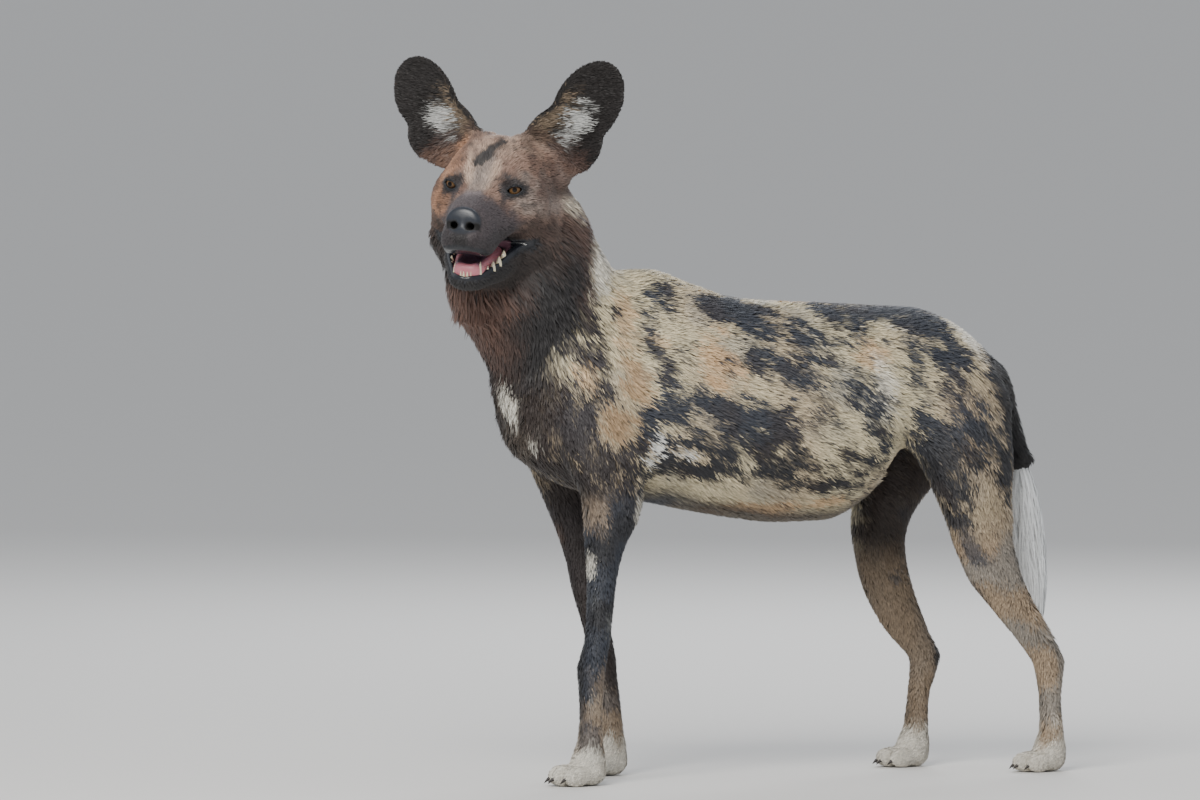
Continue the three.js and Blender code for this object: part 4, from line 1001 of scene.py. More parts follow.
def paint_neck(p, colour):
    x, y, z = p.T
    q = to_head(p)
    f, u = q[:, 0], q[:, 2]
    # The ruff is brown to black all round the throat; the side of the neck is streaked cream and grey.
    edge = 16 * noise(p, 34, 14) + 8 * noise(p, 12, 15)
    throat = smooth((-282 - x + 0.42 * (z - 600) + edge) / 26) * smooth((z - 505 + edge) / 16)
    throat = throat * smooth((-240 - x) / 20) * (1 - smooth((u + 46) / 26))
    tint = np.tile(BROWN, (len(p), 1))
    dark = np.hypot((x + 322) / 46, (z - 600) / 96)
    tint = mixed(tint, BLACK, smooth((1.35 - dark + 0.3 * noise(p, 30, 16)) / 0.7))
    tint = mixed(tint, RUFF_RED, 0.8 * smooth((-372 - x + 14 * noise(p, 25, 17)) / 30))
    tint = mixed(tint, BLACK, 0.7 * smooth((0.2 - f / 100) * 1.2) * smooth((y - 10) / 40))
    colour = mixed(colour, tint, throat)
    nape = smooth((z - 640) / 40) * (1 - throat)
    streak = smooth((noise(p * np.array([1, 1, 0.35]), 15, 18) + 0.1) * 2.5)
    colour = mixed(colour, SLATE * 1.4, 0.5 * nape * streak)
    colour = mixed(colour, PALE, 0.5 * nape * (1 - streak))
    for centre, radii, tint, strength in CHEST:
        away = np.linalg.norm((p - np.array(centre)) / np.array(radii), axis=1)
        ragged = 0.35 * noise(p, 16, 19) + 0.5 * noise(p * np.array([1, 1, 0.3]), 5, 54)
        colour = mixed(colour, tint, strength * smooth((1.1 - away + ragged) / 0.5))
    return colour


def ear_foot(q):
    """How near a point lies to where an ear joins the head."""
    foot = np.zeros(len(q))
    for ear in ears:
        r = ear.local(q)
        on = smooth((r[:, 0] + 52) / 20) * smooth((34 - ear_outline(r[:, 0], r[:, 1])) / 14)
        foot = np.maximum(foot, on * smooth((46 - r[:, 2]) / 10) * smooth((r[:, 2] + 62) / 14))
    return foot


def paint_head(p, q, colour):
    f, l, u = q.T
    on = smooth((16 - head_bare(q)) / 10) * smooth((f + 140 + 14 * noise(p, 22, 40)) / 26)
    on = np.maximum(on, ear_foot(q))
    rough = noise(p, 14, 41)
    fine = noise(p, 5, 46)
    tint = np.tile(FACE_BROWN, (len(p), 1))
    tint = mixed(tint, FACE_CREAM, 0.6 * smooth((u - 26 + 9 * rough + 5 * fine) / 18))
    tint = mixed(tint, FACE_TAN, 0.75 * smooth((-26 - l + 8 * rough) / 20) * smooth((u + 70) / 30))
    tint = mixed(tint, FACE_GREY * 0.75, 0.6 * smooth((l - 34 + 8 * rough) / 16) * smooth((u + 50) / 20)
                 * smooth((20 - u + 10 * rough) / 14))
    tint = mixed(tint, BROWN * 0.7, 0.5 * smooth(noise(p, 18, 42) * 2.2 - 0.1))
    tint = mixed(tint, BLACK * 1.6, 0.55 * smooth(noise(p * np.array([1, 1, 0.6]), 6, 49) * 2 - 0.35))
    tint = mixed(tint, RUFF_RED, 0.4 * smooth(noise(p, 11, 53) * 2))
    tint = mixed(tint, BROWN * 1.2, 0.75 * smooth((np.abs(l) - 56 + 8 * rough) / 12) * smooth((u + 30) / 20))
    # Light strokes over the inner corners of the eyes, and grey between them.
    for side in SIDES:
        stroke = np.hypot((l + 4 - side * (15 + 0.25 * (u - 16))) / 8, (u - 15) / 17) + 0.4 * rough
        tint = mixed(tint, FACE_CREAM * 1.1, 0.85 * smooth((1.25 - stroke) / 0.6) * smooth((f + 60) / 20))
    tint = mixed(tint, FACE_GREY * 0.8, 0.6 * smooth((f + 34) / 20) * smooth((16 - np.abs(l + 2)) / 10))
    # The muzzle is dusky, lighter along its top, and nearly black round the mouth.
    dusk = smooth((f - 4 + 0.75 * (-u - 24) + 10 * rough + 5 * fine) / 34)
    tint = mixed(tint, DUSK, 0.93 * dusk)
    ridge = smooth((17 - np.abs(l + 3)) / 12) * smooth((u + 34) / 14) * smooth((62 - f) / 26)
    tint = mixed(tint, MUZZLE_TOP, 0.6 * dusk * ridge * smooth(0.6 + 0.7 * rough + 0.5 * fine))
    tint = mixed(tint, DUSK * 0.5, 0.85 * smooth((-40 - u + 8 * rough) / 20) * smooth((f + 10) / 30))
    tint = mixed(tint, BLACK * 1.2, 0.9 * smooth((f - 72 + 6 * rough) / 10) * smooth((-48 - u) / 6)
                 * smooth((15 - np.abs(l) + 4 * rough) / 8))
    cheek = smooth((-34 - u + 9 * rough) / 24) * smooth((10 - f) / 30)
    tint = mixed(tint, BROWN * 0.55, 0.8 * cheek)
    tint = mixed(tint, UMBER * 0.7, 0.9 * smooth((-62 - u + 9 * rough) / 22) * smooth((40 - f) / 40))
    # The dark stripe of the forehead and the dark rings of the eyes.
    along = ((l + 4) * 27 + (u - 32) * 28) / 39
    across = ((l + 4) * 28 - (u - 32) * 27) / 39
    stripe = np.hypot(along / 22, across / 8.5) + 0.35 * rough + 0.2 * fine
    tint = mixed(tint, BLACK, 0.95 * smooth((1.2 - stripe) / 0.45) * smooth((f + 90) / 20))
    for side in SIDES:
        gaze, outward, centre = eye_frame(side)
        r = q - centre
        across = r @ outward
        away = np.hypot((across + 1) / 19.5, (r[:, 2] - 1 + 0.12 * across) / 14) + 0.25 * rough + 0.15 * fine
        facing = smooth(r @ gaze / 4 + 1)
        tint = mixed(tint, DUSK * 0.3, 0.95 * smooth((1.25 - away) / 0.5) * facing)
        tear = np.hypot((across + 15) / 7, (r[:, 2] + 9) / 12)
        tint = mixed(tint, DUSK * 0.6, 0.7 * smooth((1.2 - tear + 0.3 * rough) / 0.6) * facing)
    # Lips, nose and lower jaw.
    on_lip = smooth((lip_width(q) - lip_distance(q)) / 3.0)
    inside = smooth((3 + f - MOUTH_CORNER[0]) / 5) * smooth((lower_jaw(q) + 26) / 10)
    tint = mixed(tint, BLACK * 0.9, 0.92 * smooth((-88 - u + 0.12 * f) / 12) * smooth((f + 20) / 40))
    tint = mixed(tint, LIP_BLACK, 0.97 * on_lip * smooth((f - MOUTH_CORNER[0] + 10) / 8))
    colour = mixed(colour, tint, on)
    pink = smooth(1.0 - np.maximum(mouth_wedge(q), 0) - np.maximum(0, palate(q) - 3))
    pink = pink * smooth((-2.2 - head_bare(q)) / 2.0)
    flesh = mixed(np.tile(MOUTH_PINK, (len(p), 1)), MOUTH_DARK, smooth((-78 - u + 0.1 * f) / -14) * 0.8)
    colour = mixed(colour, flesh, pink * inside * (f > MOUTH_CORNER[0] - 4))
    black = smooth((3.0 - nose_distance(q)) / 2.2)
    colour = mixed(colour, NOSE_BLACK * (1 + 0.25 * noise(p, 3.2, 52))[:, None], black)
    # Painted shade: the nostril holes are painted near black.
    colour = mixed(colour, linear((8, 7, 8)), in_nostril(q))
    for opening in eye_openings:
        lid = smooth((4.6 - np.abs(opening(q))) / 1.8) * smooth((f + 30) / 8)
        colour = mixed(colour, LIP_BLACK * 0.7, lid)
    return colour


def nose_distance(q):
    return np.maximum(pad(q), -(q[:, 2] + 57))


def in_nostril(q):
    """1 on the walls of the nostrils."""
    return smooth((1.4 - np.minimum.reduce([hole(q) for hole in nostrils + nostril_depths])) / 1.4)


def lip_width(q):
    """How far the bare black lip reaches from the mouth's edges: wider below."""
    return np.where(q[:, 2] < lower_lip(q[:, 0]) + 1, 8.5, 6.0)


# Where each ear's white tuft grows, along and across the ear: [along, across, half along, half across].
EAR_WHITE = {1: (42, 5, 34, 14), -1: (38, 2, 30, 15)}


def ear_white(r, side):
    """How far a point lies from the ear's white tuft: 1 at its edge."""
    along, across, half_along, half_across = EAR_WHITE[side]
    return np.hypot((r[:, 0] - along) / half_along, (r[:, 1] - across) / half_across)


def paint_ears(p, q, colour):
    for ear in ears:
        r = ear.local(q)
        along, across, out = r.T
        outline = ear_outline(along, across)
        on = smooth((14 - outline) / 8) * smooth((40 - np.abs(out)) / 8)
        on = on * smooth((along + 4 + 7 * noise(p, 14, 43)) / 14)
        inner = out > ear_hollow(along, across)
        rough = noise(p, 11, 44)
        hairs = noise(r * np.array([1, 0.3, 0.3]), 3.5, 51)
        tint = np.tile(linear((34, 28, 26)), (len(p), 1))
        front = np.tile(linear((26, 21, 20)), (len(p), 1))
        edge = smooth((-6 - across + 6 * rough + 8 * hairs) / 14) * smooth((96 - along + 16 * rough) / 26)
        edge = edge * smooth((-5 - outline + 5 * rough) / 4)
        front = mixed(front, FAWN * 0.6, 0.8 * edge)
        front = mixed(front, BROWN * 1.3, 0.7 * smooth((26 - along + 12 * rough + 8 * hairs) / 24))
        white = ear_white(r, ear.side) + 0.35 * rough + 0.45 * hairs
        front = mixed(front, WHITE * 0.62, 0.92 * smooth((1.1 - white) / 0.5))
        tint = np.where(inner[:, None], front, tint)
        colour = mixed(colour, tint, on)
    return colour


def paint_tail(p, colour):
    x, y, z = p.T
    on = smooth((x - 318) / 12) * smooth((45 - np.abs(y)) / 6) * smooth((480 - z) / 20)
    colour = mixed(colour, BLACK, on * smooth((z - 380) / 6))
    return mixed(colour, WHITE, on * smooth((386 - z) / 6))


def paint(p):
    q = to_head(p)
    colour = paint_body(p)
    colour = paint_neck(p, colour)
    colour = paint_legs(p, colour)
    colour = paint_tail(p, colour)
    near = np.linalg.norm(q, axis=1) < 300
    colour[near] = paint_head(p[near], q[near], colour[near])
    colour[near] = paint_ears(p[near], q[near], colour[near])
    return np.clip(colour, 0.0008, 1)


def add_colour(piece, colour, name="coat_colour"):
    data = piece.data.color_attributes.new(name=name, type="FLOAT_COLOR", domain="POINT")
    rgba = np.concatenate([colour, np.ones((len(colour), 1))], axis=1).astype(np.float32)
    data.data.foreach_set("color", rgba.ravel())


def add_value(piece, values, name):
    data = piece.data.attributes.new(name=name, type="FLOAT", domain="POINT")
    data.data.foreach_set("value", values.astype(np.float32))


# The coat. A tuft is a thin blade that starts in the skin, follows the lie of the fur and ends at the
# coat's outline.
def sample(p):
    """The distance to the skin and the way out of it, read between the planes of the grid."""
    corner, part, width = [], [], []
    for a in range(3):
        i = np.clip(np.searchsorted(GRID[a], p[:, a]) - 1, 0, len(GRID[a]) - 2)
        step = GRID[a][i + 1] - GRID[a][i]
        corner.append(i)
        part.append(np.clip((p[:, a] - GRID[a][i]) / step, 0, 1))
        width.append(step)
    total = np.zeros(len(p))
    slope = np.zeros((len(p), 3))
    for i in (0, 1):
        for j in (0, 1):
            for k in (0, 1):
                d = value[corner[0] + i, corner[1] + j, corner[2] + k].astype(float)
                w = [part[a] if above else 1 - part[a] for a, above in enumerate((i, j, k))]
                total += d * w[0] * w[1] * w[2]
                slope[:, 0] += d * (1 if i else -1) * w[1] * w[2] / width[0]
                slope[:, 1] += d * (1 if j else -1) * w[0] * w[2] / width[1]
                slope[:, 2] += d * (1 if k else -1) * w[0] * w[1] / width[2]
    return total, slope


def laid_at(p, height):
    """Moves points to the given height over the skin."""
    for _ in range(2):
        d, g = sample(p)
        steep = np.maximum(np.linalg.norm(g, axis=1), 0.4)
        move = np.clip((height - d / steep), -6, 6)
        p = p + move[:, None] * g / steep[:, None]
    return p


def scatter(points, quads, normals, per_square_cm, draw):
    """Random places on the skin, with their normals."""
    triangles = np.concatenate([quads[:, [0, 1, 2]], quads[:, [0, 2, 3]]])
    a, b, c = [points[triangles[:, i]] for i in range(3)]
    area = np.linalg.norm(np.cross(b - a, c - a), axis=1) / 2
    count = int(area.sum() / 100 * per_square_cm)
    pick = np.searchsorted(np.cumsum(area), draw.random(count) * area.sum())
    pick = np.minimum(pick, len(triangles) - 1)
    s, t = draw.random(count), draw.random(count)
    over = s + t > 1
    s[over], t[over] = 1 - s[over], 1 - t[over]
    tri = triangles[pick]
    weights = np.stack([1 - s - t, s, t], 1)
    place = (points[tri] * weights[:, :, None]).sum(1)
    normal = unit((normals[tri] * weights[:, :, None]).sum(1))
    return place, normal


def zones(p):
    """How strongly each kind of coat applies at each point."""
    x, y, z = p.T
    q = to_head(p)
    f, u = q[:, 0], q[:, 2]
    ear = np.zeros(len(p))
    ear_front = np.zeros(len(p), bool)
    tuft = np.zeros(len(p))
    for one in ears:
        r = one.local(q)
        on = smooth((r[:, 0] - 2) / 16) * smooth((5 - ear_outline(r[:, 0], r[:, 1])) / 4)
        on = on * smooth((30 - np.abs(r[:, 2])) / 6)
        ear_front |= (on > 0.3) & (r[:, 2] > ear_hollow(r[:, 0], r[:, 1]))
        ear = np.maximum(ear, on)
        tuft = np.maximum(tuft, ear_front * on * smooth((1.5 - ear_white(r, one.side)) / 0.5))
    face = smooth((14 - head_bare(q)) / 8) * smooth((f + 140) / 40) * (1 - ear)
    face *= 1 - smooth((-58 - u) / 20) * smooth((-20 - f) / 30)
    face = np.maximum(face, 0.9 * ear_foot(q) * (1 - ear) * (np.linalg.norm(q, axis=1) < 250))
    rim = np.minimum(np.abs(mouth_wedge(q)), np.abs(palate(q)))
    inside = (mouth_wedge(q) < 1.5) & (f > MOUTH_CORNER[0] - 2) & (head_bare(q) < 4)
    for opening in eye_openings:
        rim = np.minimum(rim, np.abs(opening(q)))
        inside |= opening(q) < 1
    inside |= (pad(q) < 2.0) | (palate(q) < 1)
    inside |= (lip_distance(q) < lip_width(q) - 4) & (f > MOUTH_CORNER[0]) & (head_bare(q) < 8)
    ruff = smooth((z - 490) / 50) * smooth((-250 - x) / 40) * (1 - face) * (1 - ear)
    return {
        "head": q,
        "ear": ear,
        "ear_front": ear_front,
        "ear_tuft": tuft,
        "face": face,
        "muzzle": face * smooth((f - 8) / 40),
        "rim": rim,
        "bare": inside,
        "legs": smooth((360 - z) / 90) * (1 - smooth((x - 330) / 20) * (z > 180)),
        "feet": smooth((70 - z) / 45),
        "ruff": ruff * (1 - 0.9 * smooth((u + 46) / 26)),
        "tail": smooth((x - 318) / 10) * smooth((z - 175) / 20) * (np.abs(y) < 45),
    }


def lie(p, n, zone):
    """The way the fur points, along the skin."""
    x, z = p[:, 0], p[:, 2]
    side = np.abs(n[:, 1])
    d = np.stack([np.ones(len(p)), np.zeros(len(p)), -0.55 * side - 0.08], 1)

    def turn_to(way, weight):
        nonlocal d
        way = np.broadcast_to(np.asarray(way, float), d.shape)
        d = toward(d, unit(way), weight[:, None])

    turn_to((0.35, 0, -1), smooth((-190 - x) / 50) * side)
    turn_to((0.3, 0, -1), smooth((x - 190) / 50) * smooth((560 - z) / 80) * side)
    turn_to((0.1, 0, -1), smooth((-300 - x) / 40))
    turn_to((0.5, 0, -1), smooth((-250 - x) / 40) * smooth((z - 560) / 60))
    turn_to((0.16, 0, -1), zone["legs"])
    turn_to((-0.7, 0, -0.5), zone["feet"])
    turn_to((0.3, 0, -1), zone["tail"])
    q = zone["head"]
    f, l, u = q.T
    sink = -0.25 - 0.5 * smooth((-20 - u) / 50)
    spread = np.stack([-np.ones(len(p)), np.clip(l / 60, -1, 1) * 0.5, sink], 1)
    spread[:, 2] += 0.7 * smooth(u / 30) * smooth((40 + f) / 60)
    turn_to(spread @ HEAD, zone["face"])
    for one in ears:
        near = zone["ear"] * ((l > 0) == (one.side > 0))
        r = one.local(q)
        radial = unit(np.stack([(r[:, 0] - 62) / 64 ** 2, (r[:, 1] - 9) / 41 ** 2, 0 * r[:, 0]], 1))
        rim = smooth((ear_outline(r[:, 0], r[:, 1]) + 9) / 6)[:, None]
        inward = np.where(zone["ear_front"][:, None], [0.5, 0.75, 0], [1.0, 0, 0])
        out = toward(inward, radial, rim)
        turn_to(out @ one.rows @ HEAD, near)
    swirl = 0.32 * noise(p, 38, 50) * (1 - zone["face"])
    d = d + np.cross(n, d) * swirl[:, None]
    return unit(d - (d * n).sum(1, keepdims=True) * n)


def points_a_tuft(rings):
    """A tuft has 2 points at its root, 2 at each ring and 1 at its tip."""
    return 2 * rings + 3


def tuft_faces(count, rings):
    per = points_a_tuft(rings)
    faces = []
    for a in range(0, 2 * rings, 2):
        faces += [[a, a + 1, a + 3], [a, a + 3, a + 2]]
    faces.append([per - 3, per - 2, per - 1])
    base = (np.arange(count) * per)[:, None, None]
    return (base + np.array(faces)[None]).reshape(-1, 3)


def blades(place, normal, way, length, width, height, draw, rings=1, spread=0.16, flat=0.25):
    """The points of tufts, from the root's to the tip's."""
    count = len(place)
    turned = unit(way + np.cross(normal, way) * draw.normal(0, spread, count)[:, None])
    side = np.cross(turned, normal)
    side = unit(side + normal * draw.normal(0, flat, count)[:, None])
    root = place - normal * 0.5
    narrow = side * (width * 0.35)[:, None]
    rows = [root - narrow, root + narrow]
    for ring in range(1, rings + 1):
        t = ring / (rings + 1)
        middle = place + turned * (length * t)[:, None] + normal * (height * t)[:, None]
        middle = laid_at(middle, height * t ** 0.8)
        half = (width * 0.5 * (1 - 0.35 * (t - 0.5)))[:, None]
        rows += [middle - side * half, middle + side * half]
    tip = laid_at(place + turned * length[:, None] + normal * height[:, None], height)
    rows.append(tip)
    return np.stack(rows, 1)


PATCH = 0.003               # the size of each tuft's patch on its piece's map


def bake_map(piece, where, per):
    """Gives each tuft a small patch of the map at its root's place."""
    layer = piece.data.uv_layers.new(name="OFBake")
    corner = np.zeros(len(piece.data.loops), np.int32)
    piece.data.loops.foreach_get("vertex_index", corner)
    index = corner % per
    tuft = corner // per
    rows = (per - 1) // 2
    across = np.where(index == per - 1, 0.5, index % 2)
    along = (index // 2) / rows
    uv = np.clip(where[tuft], 0.002, 0.995) + PATCH * np.stack([across - 0.5, along - 0.5], 1)
    layer.data.foreach_set("uv", uv.astype(np.float32).ravel())


def around(p, centre, axes):
    """The angle about a line, from 0 to 1."""
    a, b = axes
    return np.arctan2(p[:, a] - centre[0], p[:, b] - centre[1]) / (2 * math.pi) + 0.5


def unwrap_trunk(p):
    return np.stack([(p[:, 0] + 370) / 740, np.abs(np.arctan2(p[:, 1], p[:, 2] - 480)) / math.pi], 1)


def unwrap_neck(p):
    return np.stack([around(p, (-25, -310), (1, 0)), (p[:, 2] - 430) / 400], 1)


def unwrap_head(p):
    q = to_head(p)
    return np.stack([around(q, (0, -30), (1, 2)), (q[:, 0] + 165) / 280], 1)


def unwrap_ears(p):
    q = to_head(p)
    uv = np.zeros((len(p), 2))
    for one, start in zip(ears, (0, 0.5)):
        r = one.local(q)
        mine = (q[:, 1] > 0) == (one.side > 0)
        front = r[:, 2] > ear_hollow(r[:, 0], r[:, 1])
        uv[mine, 0] = start + 0.48 * np.clip((r[mine, 1] + 50) / 110, 0, 1)
        uv[mine, 1] = np.where(front[mine], 0, 0.5) + 0.48 * np.clip((r[mine, 0] + 20) / 170, 0, 1)
    return uv


def unwrap_legs(p, middle, aside):
    """Both legs of a pair, each round its own middle line, side by side on the map."""
    turned = np.arctan2(np.abs(p[:, 1]) - aside, p[:, 0] - middle) / (2 * math.pi) + 0.5
    return np.stack([0.48 * turned + np.where(p[:, 1] < 0, 0, 0.5), p[:, 2] / 410], 1)


def unwrap_fore(p):
    return unwrap_legs(p, np.where(p[:, 1] < 0, -255, -205), 76)


def unwrap_hind(p):
    middle = np.interp(p[:, 2], [0, 140, 250, 400], [375, 370, 297, 258]) - np.where(p[:, 1] < 0, 0, 100)
    return unwrap_legs(p, middle, 72)


def unwrap_tail(p):
    middle = np.interp(p[:, 2], [160, 300, 400, 500], [384, 372, 361, 318])
    turned = np.arctan2(p[:, 1], p[:, 0] - middle) / (2 * math.pi) + 0.5
    return np.stack([turned, (p[:, 2] - 150) / 400], 1)


def coat_of(p, zone):
    """The number of the coat piece that each tuft belongs to."""
    x, y, z = p.T
    piece = np.where(y < 0, 0, 1)
    piece[(x < -250 - 0.2 * (z - 540)) & (z > 500)] = 2
    piece[(zone["face"] > 0.4)] = 3
    piece[zone["ear"] > 0.4] = 4
    piece[(z < 385) & (x < -130) & (np.abs(y) > 22)] = 5
    piece[(z < 385) & (x > 120)] = 6
    piece[zone["tail"] > 0.5] = 7
    return piece


COATS = [
    ("coat_left_side", "coat", unwrap_trunk),
    ("coat_right_side", "coat", unwrap_trunk),
    ("coat_neck", "dark_coat", unwrap_neck),
    ("coat_head", "face", unwrap_head),
    ("coat_ears", "dark_coat", unwrap_ears),
    ("coat_fore_legs", "leg_coat", unwrap_fore),
    ("coat_hind_legs", "leg_coat", unwrap_hind),
    ("coat_tail", "dark_coat", unwrap_tail),
]


def shaded(colour, count_per_tuft, draw, root=0.62, tip=1.12, vary=0.13):
    """One colour a tuft, darker at its root and lighter at its tip."""
    tone = 1 + vary * draw.standard_normal(len(colour))
    along = np.linspace(root, tip, (count_per_tuft + 1) // 2)
    steps_along = np.append(np.repeat(along[:-1], 2), along[-1])
    out = colour[:, None, :] * np.clip(tone, 0.6, 1.5)[:, None, None] * steps_along[None, :, None]
    return np.clip(out, 0, 1).reshape(-1, 3)


def tuft_sizes(zone, draw):
    count = len(zone["ear"])
    size = {"length": np.full(count, 16.0), "width": np.full(count, 2.3), "height": np.full(count, 5.6),
            "often": np.full(count, 26.0)}

    def set_to(weight, length, width, height, often):
        for key, goal in (("length", length), ("width", width), ("height", height), ("often", often)):
            size[key] += (goal - size[key]) * weight

    set_to(zone["ruff"], 30, 2.8, 11, 20)
    set_to(zone["legs"], 9.5, 1.8, 2.8, 34)
    set_to(zone["feet"], 5.5, 1.5, 1.2, 40)
    set_to(zone["face"], 7, 1.3, 1.8, 46)
    set_to(zone["muzzle"], 4.6, 1.2, 1.1, 46)
    chin = zone["muzzle"] * smooth((-98 - zone["head"][:, 2]) / 8)
    set_to(chin, 10, 1.5, 2.6, 46)
    set_to(zone["ear"], 8, 1.4, 2.0, 40)
    set_to(zone["ear_tuft"], 17, 1.5, 4.5, 44)
    near_rim = smooth((zone["rim"] - 1.5) / 9)
    size["length"] *= 0.35 + 0.65 * near_rim
    size["height"] *= 0.3 + 0.7 * near_rim
    size["length"] *= draw.uniform(0.7, 1.25, count)
    size["width"] *= draw.uniform(0.75, 1.2, count)
    size["height"] *= draw.uniform(0.6, 1.12, count)
    return size


# The finishes.
def material(name, attribute=None, colour=(0.5, 0.5, 0.5), roughness=0.6, sheen=0.0, coat=0.0, wet=None,
             grain=None, grain_size=900.0, depth=0.0002, subsurface=0.0, gloss=0.5):
    made = bpy.data.materials.new(name)
    made.use_nodes = True
    nodes, links = made.node_tree.nodes, made.node_tree.links
    shader = nodes["Principled BSDF"]
    shader.inputs["Roughness"].default_value = roughness
    shader.inputs["Specular IOR Level"].default_value = gloss
    shader.inputs["Sheen Weight"].default_value = sheen
    shader.inputs["Coat Weight"].default_value = coat
    shader.inputs["Coat Roughness"].default_value = 0.04
    shader.inputs["Subsurface Weight"].default_value = subsurface
    shader.inputs["Subsurface Radius"].default_value = (0.006, 0.002, 0.001)
    place = nodes.new("ShaderNodeTexCoord")
    spots = nodes.new("ShaderNodeTexNoise")
    spots.inputs["Scale"].default_value = grain_size
    spots.inputs["Detail"].default_value = 3.0
    links.new(place.outputs["Object"], spots.inputs["Vector"])
    ramp = nodes.new("ShaderNodeMapRange")
    ramp.inputs["To Min"].default_value = 0.82
    ramp.inputs["To Max"].default_value = 1.18
    links.new(spots.outputs["Fac"], ramp.inputs["Value"])
    tint = nodes.new("ShaderNodeVectorMath")
    tint.operation = "SCALE"
    if attribute:
        source = nodes.new("ShaderNodeAttribute")
        source.attribute_name = attribute
        links.new(source.outputs["Color"], tint.inputs[0])
    else:
        tint.inputs[0].default_value = tuple(colour)
    links.new(ramp.outputs["Result"], tint.inputs["Scale"])
    links.new(tint.outputs["Vector"], shader.inputs["Base Color"])
    if grain:
        bump = nodes.new("ShaderNodeBump")
        bump.inputs["Strength"].default_value = grain
        bump.inputs["Distance"].default_value = depth
        links.new(spots.outputs["Fac"], bump.inputs["Height"])
        links.new(bump.outputs["Normal"], shader.inputs["Normal"])
    if wet:
        wetness = nodes.new("ShaderNodeAttribute")
        wetness.attribute_name = wet
        rough = nodes.new("ShaderNodeMapRange")
        rough.inputs["To Min"].default_value = roughness
        rough.inputs["To Max"].default_value = 0.22
        links.new(wetness.outputs["Fac"], rough.inputs["Value"])
        links.new(rough.outputs["Result"], shader.inputs["Roughness"])
    return made


skin_look = material("skin_look", attribute="coat_colour", roughness=0.78, wet="wet", grain=0.5,
                     grain_size=700.0)
fur_look = material("fur_look", attribute="coat_colour", roughness=0.62, sheen=0.12, grain_size=420.0)
eye_look = material("eye_look", attribute="coat_colour", roughness=0.1, gloss=0.25, grain_size=2600.0)
tooth_look = material("tooth_look", colour=linear((226, 214, 186)), roughness=0.24, grain=0.15, coat=0.4,
                      subsurface=0.1, grain_size=500.0)
tongue_look = material("tongue_look", attribute="coat_colour", roughness=0.34, grain=0.6, grain_size=1100.0,
                       depth=0.0004, subsurface=0.15)
horn_look = material("horn_look", colour=linear((40, 34, 32)), roughness=0.4, grain=0.3, grain_size=800.0)


def finish_piece(piece, look, nodes=()):
    piece.data.materials.append(look)
    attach(piece, "root")
    if nodes:
        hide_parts(*nodes)
    return piece


# The skin.
FLESH = ["torso", "neck", "head", "lower_jaw", "ear_left", "ear_right", "nose", "foreleg_left",
         "foreleg_right", "hindleg_left", "hindleg_right", "paw_fore_left", "paw_fore_right",
         "paw_hind_left", "paw_hind_right", "tail_base"]
skin = new_mesh("skin", skin_points, skin_quads)
skin_colour = paint(skin_points + skin_normals * 2)
zone = zones(skin_points + skin_normals * 2)
# Where the coat covers it, the skin is painted up to 45% darker, as painted shade deep in the fur.
furred = (1 - np.maximum(zone["muzzle"], zone["feet"]) * 0.8) * ~zone["bare"]
add_colour(skin, skin_colour * (1 - 0.45 * furred)[:, None])
q = zone["head"]
wet_mouth = smooth((2 - mouth_wedge(q)) / 2) * smooth((4 - head_bare(q)) / 3)
wet_lip = 0.8 * smooth((lip_width(q) - 1 - lip_distance(q)) / 3) * smooth((q[:, 0] - MOUTH_CORNER[0]) / 8)
wet_lip = wet_lip * smooth((8 - head_bare(q)) / 4)
wet = np.maximum.reduce([0.75 * smooth((2.5 - pad(q)) / 2), wet_mouth, wet_lip])
for opening in eye_openings:
    wet = np.maximum(wet, 0.8 * smooth((1.6 - np.abs(opening(q))) / 1.2) * smooth((q[:, 0] + 30) / 8))
add_value(skin, wet * (1 - in_nostril(q)) * (np.linalg.norm(q, axis=1) < 200), "wet")
finish_piece(skin, skin_look, FLESH)

# The coat, piece by piece.
TUFTS_TRIED = 50            # places drawn on each square centimetre, of which tuft_sizes keeps a part
draw = np.random.default_rng(SEED)
place, normal = scatter(skin_points, skin_quads, skin_normals, TUFTS_TRIED, draw)
zone = zones(place + normal * 2)
size = tuft_sizes(zone, draw)
x, y, z = place.T
in_brush = (x > 335) & (z < 401) & (z > 200) & (np.abs(y) < 34)
keep = (draw.random(len(place)) < size["often"] / TUFTS_TRIED) & ~zone["bare"] & (z > 3) & ~in_brush
place, normal = place[keep], normal[keep]
zone = {key: values[keep] for key, values in zone.items()}
size = {key: values[keep] for key, values in size.items()}
way = lie(place, normal, zone)
# Each tuft takes its colour from a place a little along its way, so that the edges of the pattern are hairy.
fuzz = way * draw.normal(4, 5, len(place))[:, None]
fuzz += np.cross(way, normal) * draw.normal(0, 1.5, len(place))[:, None]
fuzz *= (1 - 0.75 * zone["face"])[:, None]
colour = paint(place + normal * 2 + fuzz)
which = coat_of(place, zone)
long_fur = zone["ruff"] > 0.35
FEWEST_TUFTS = 50           # a coat with fewer tufts than this gets no piece of its own
for number, (name, slot, unwrap) in enumerate(COATS):
    mine = which == number
    for ending, group, rings in (("", mine & ~long_fur, 1), ("_long", mine & long_fur, 2)):
        if group.sum() < FEWEST_TUFTS:
            continue
        shape = [size[key][group] for key in ("length", "width", "height")]
        points = blades(place[group], normal[group], way[group], *shape, draw, rings=rings)
        faces = tuft_faces(len(points), rings)
        piece = new_mesh(name + ending, points.reshape(-1, 3), faces, smooth_shading=False)
        per = points_a_tuft(rings)
        add_colour(piece, shaded(colour[group], per, draw))
        bake_map(piece, unwrap(place[group]), per)
        finish_piece(piece, fur_look)
        print(name + ending, int(group.sum()), "tufts", len(faces), "triangles")


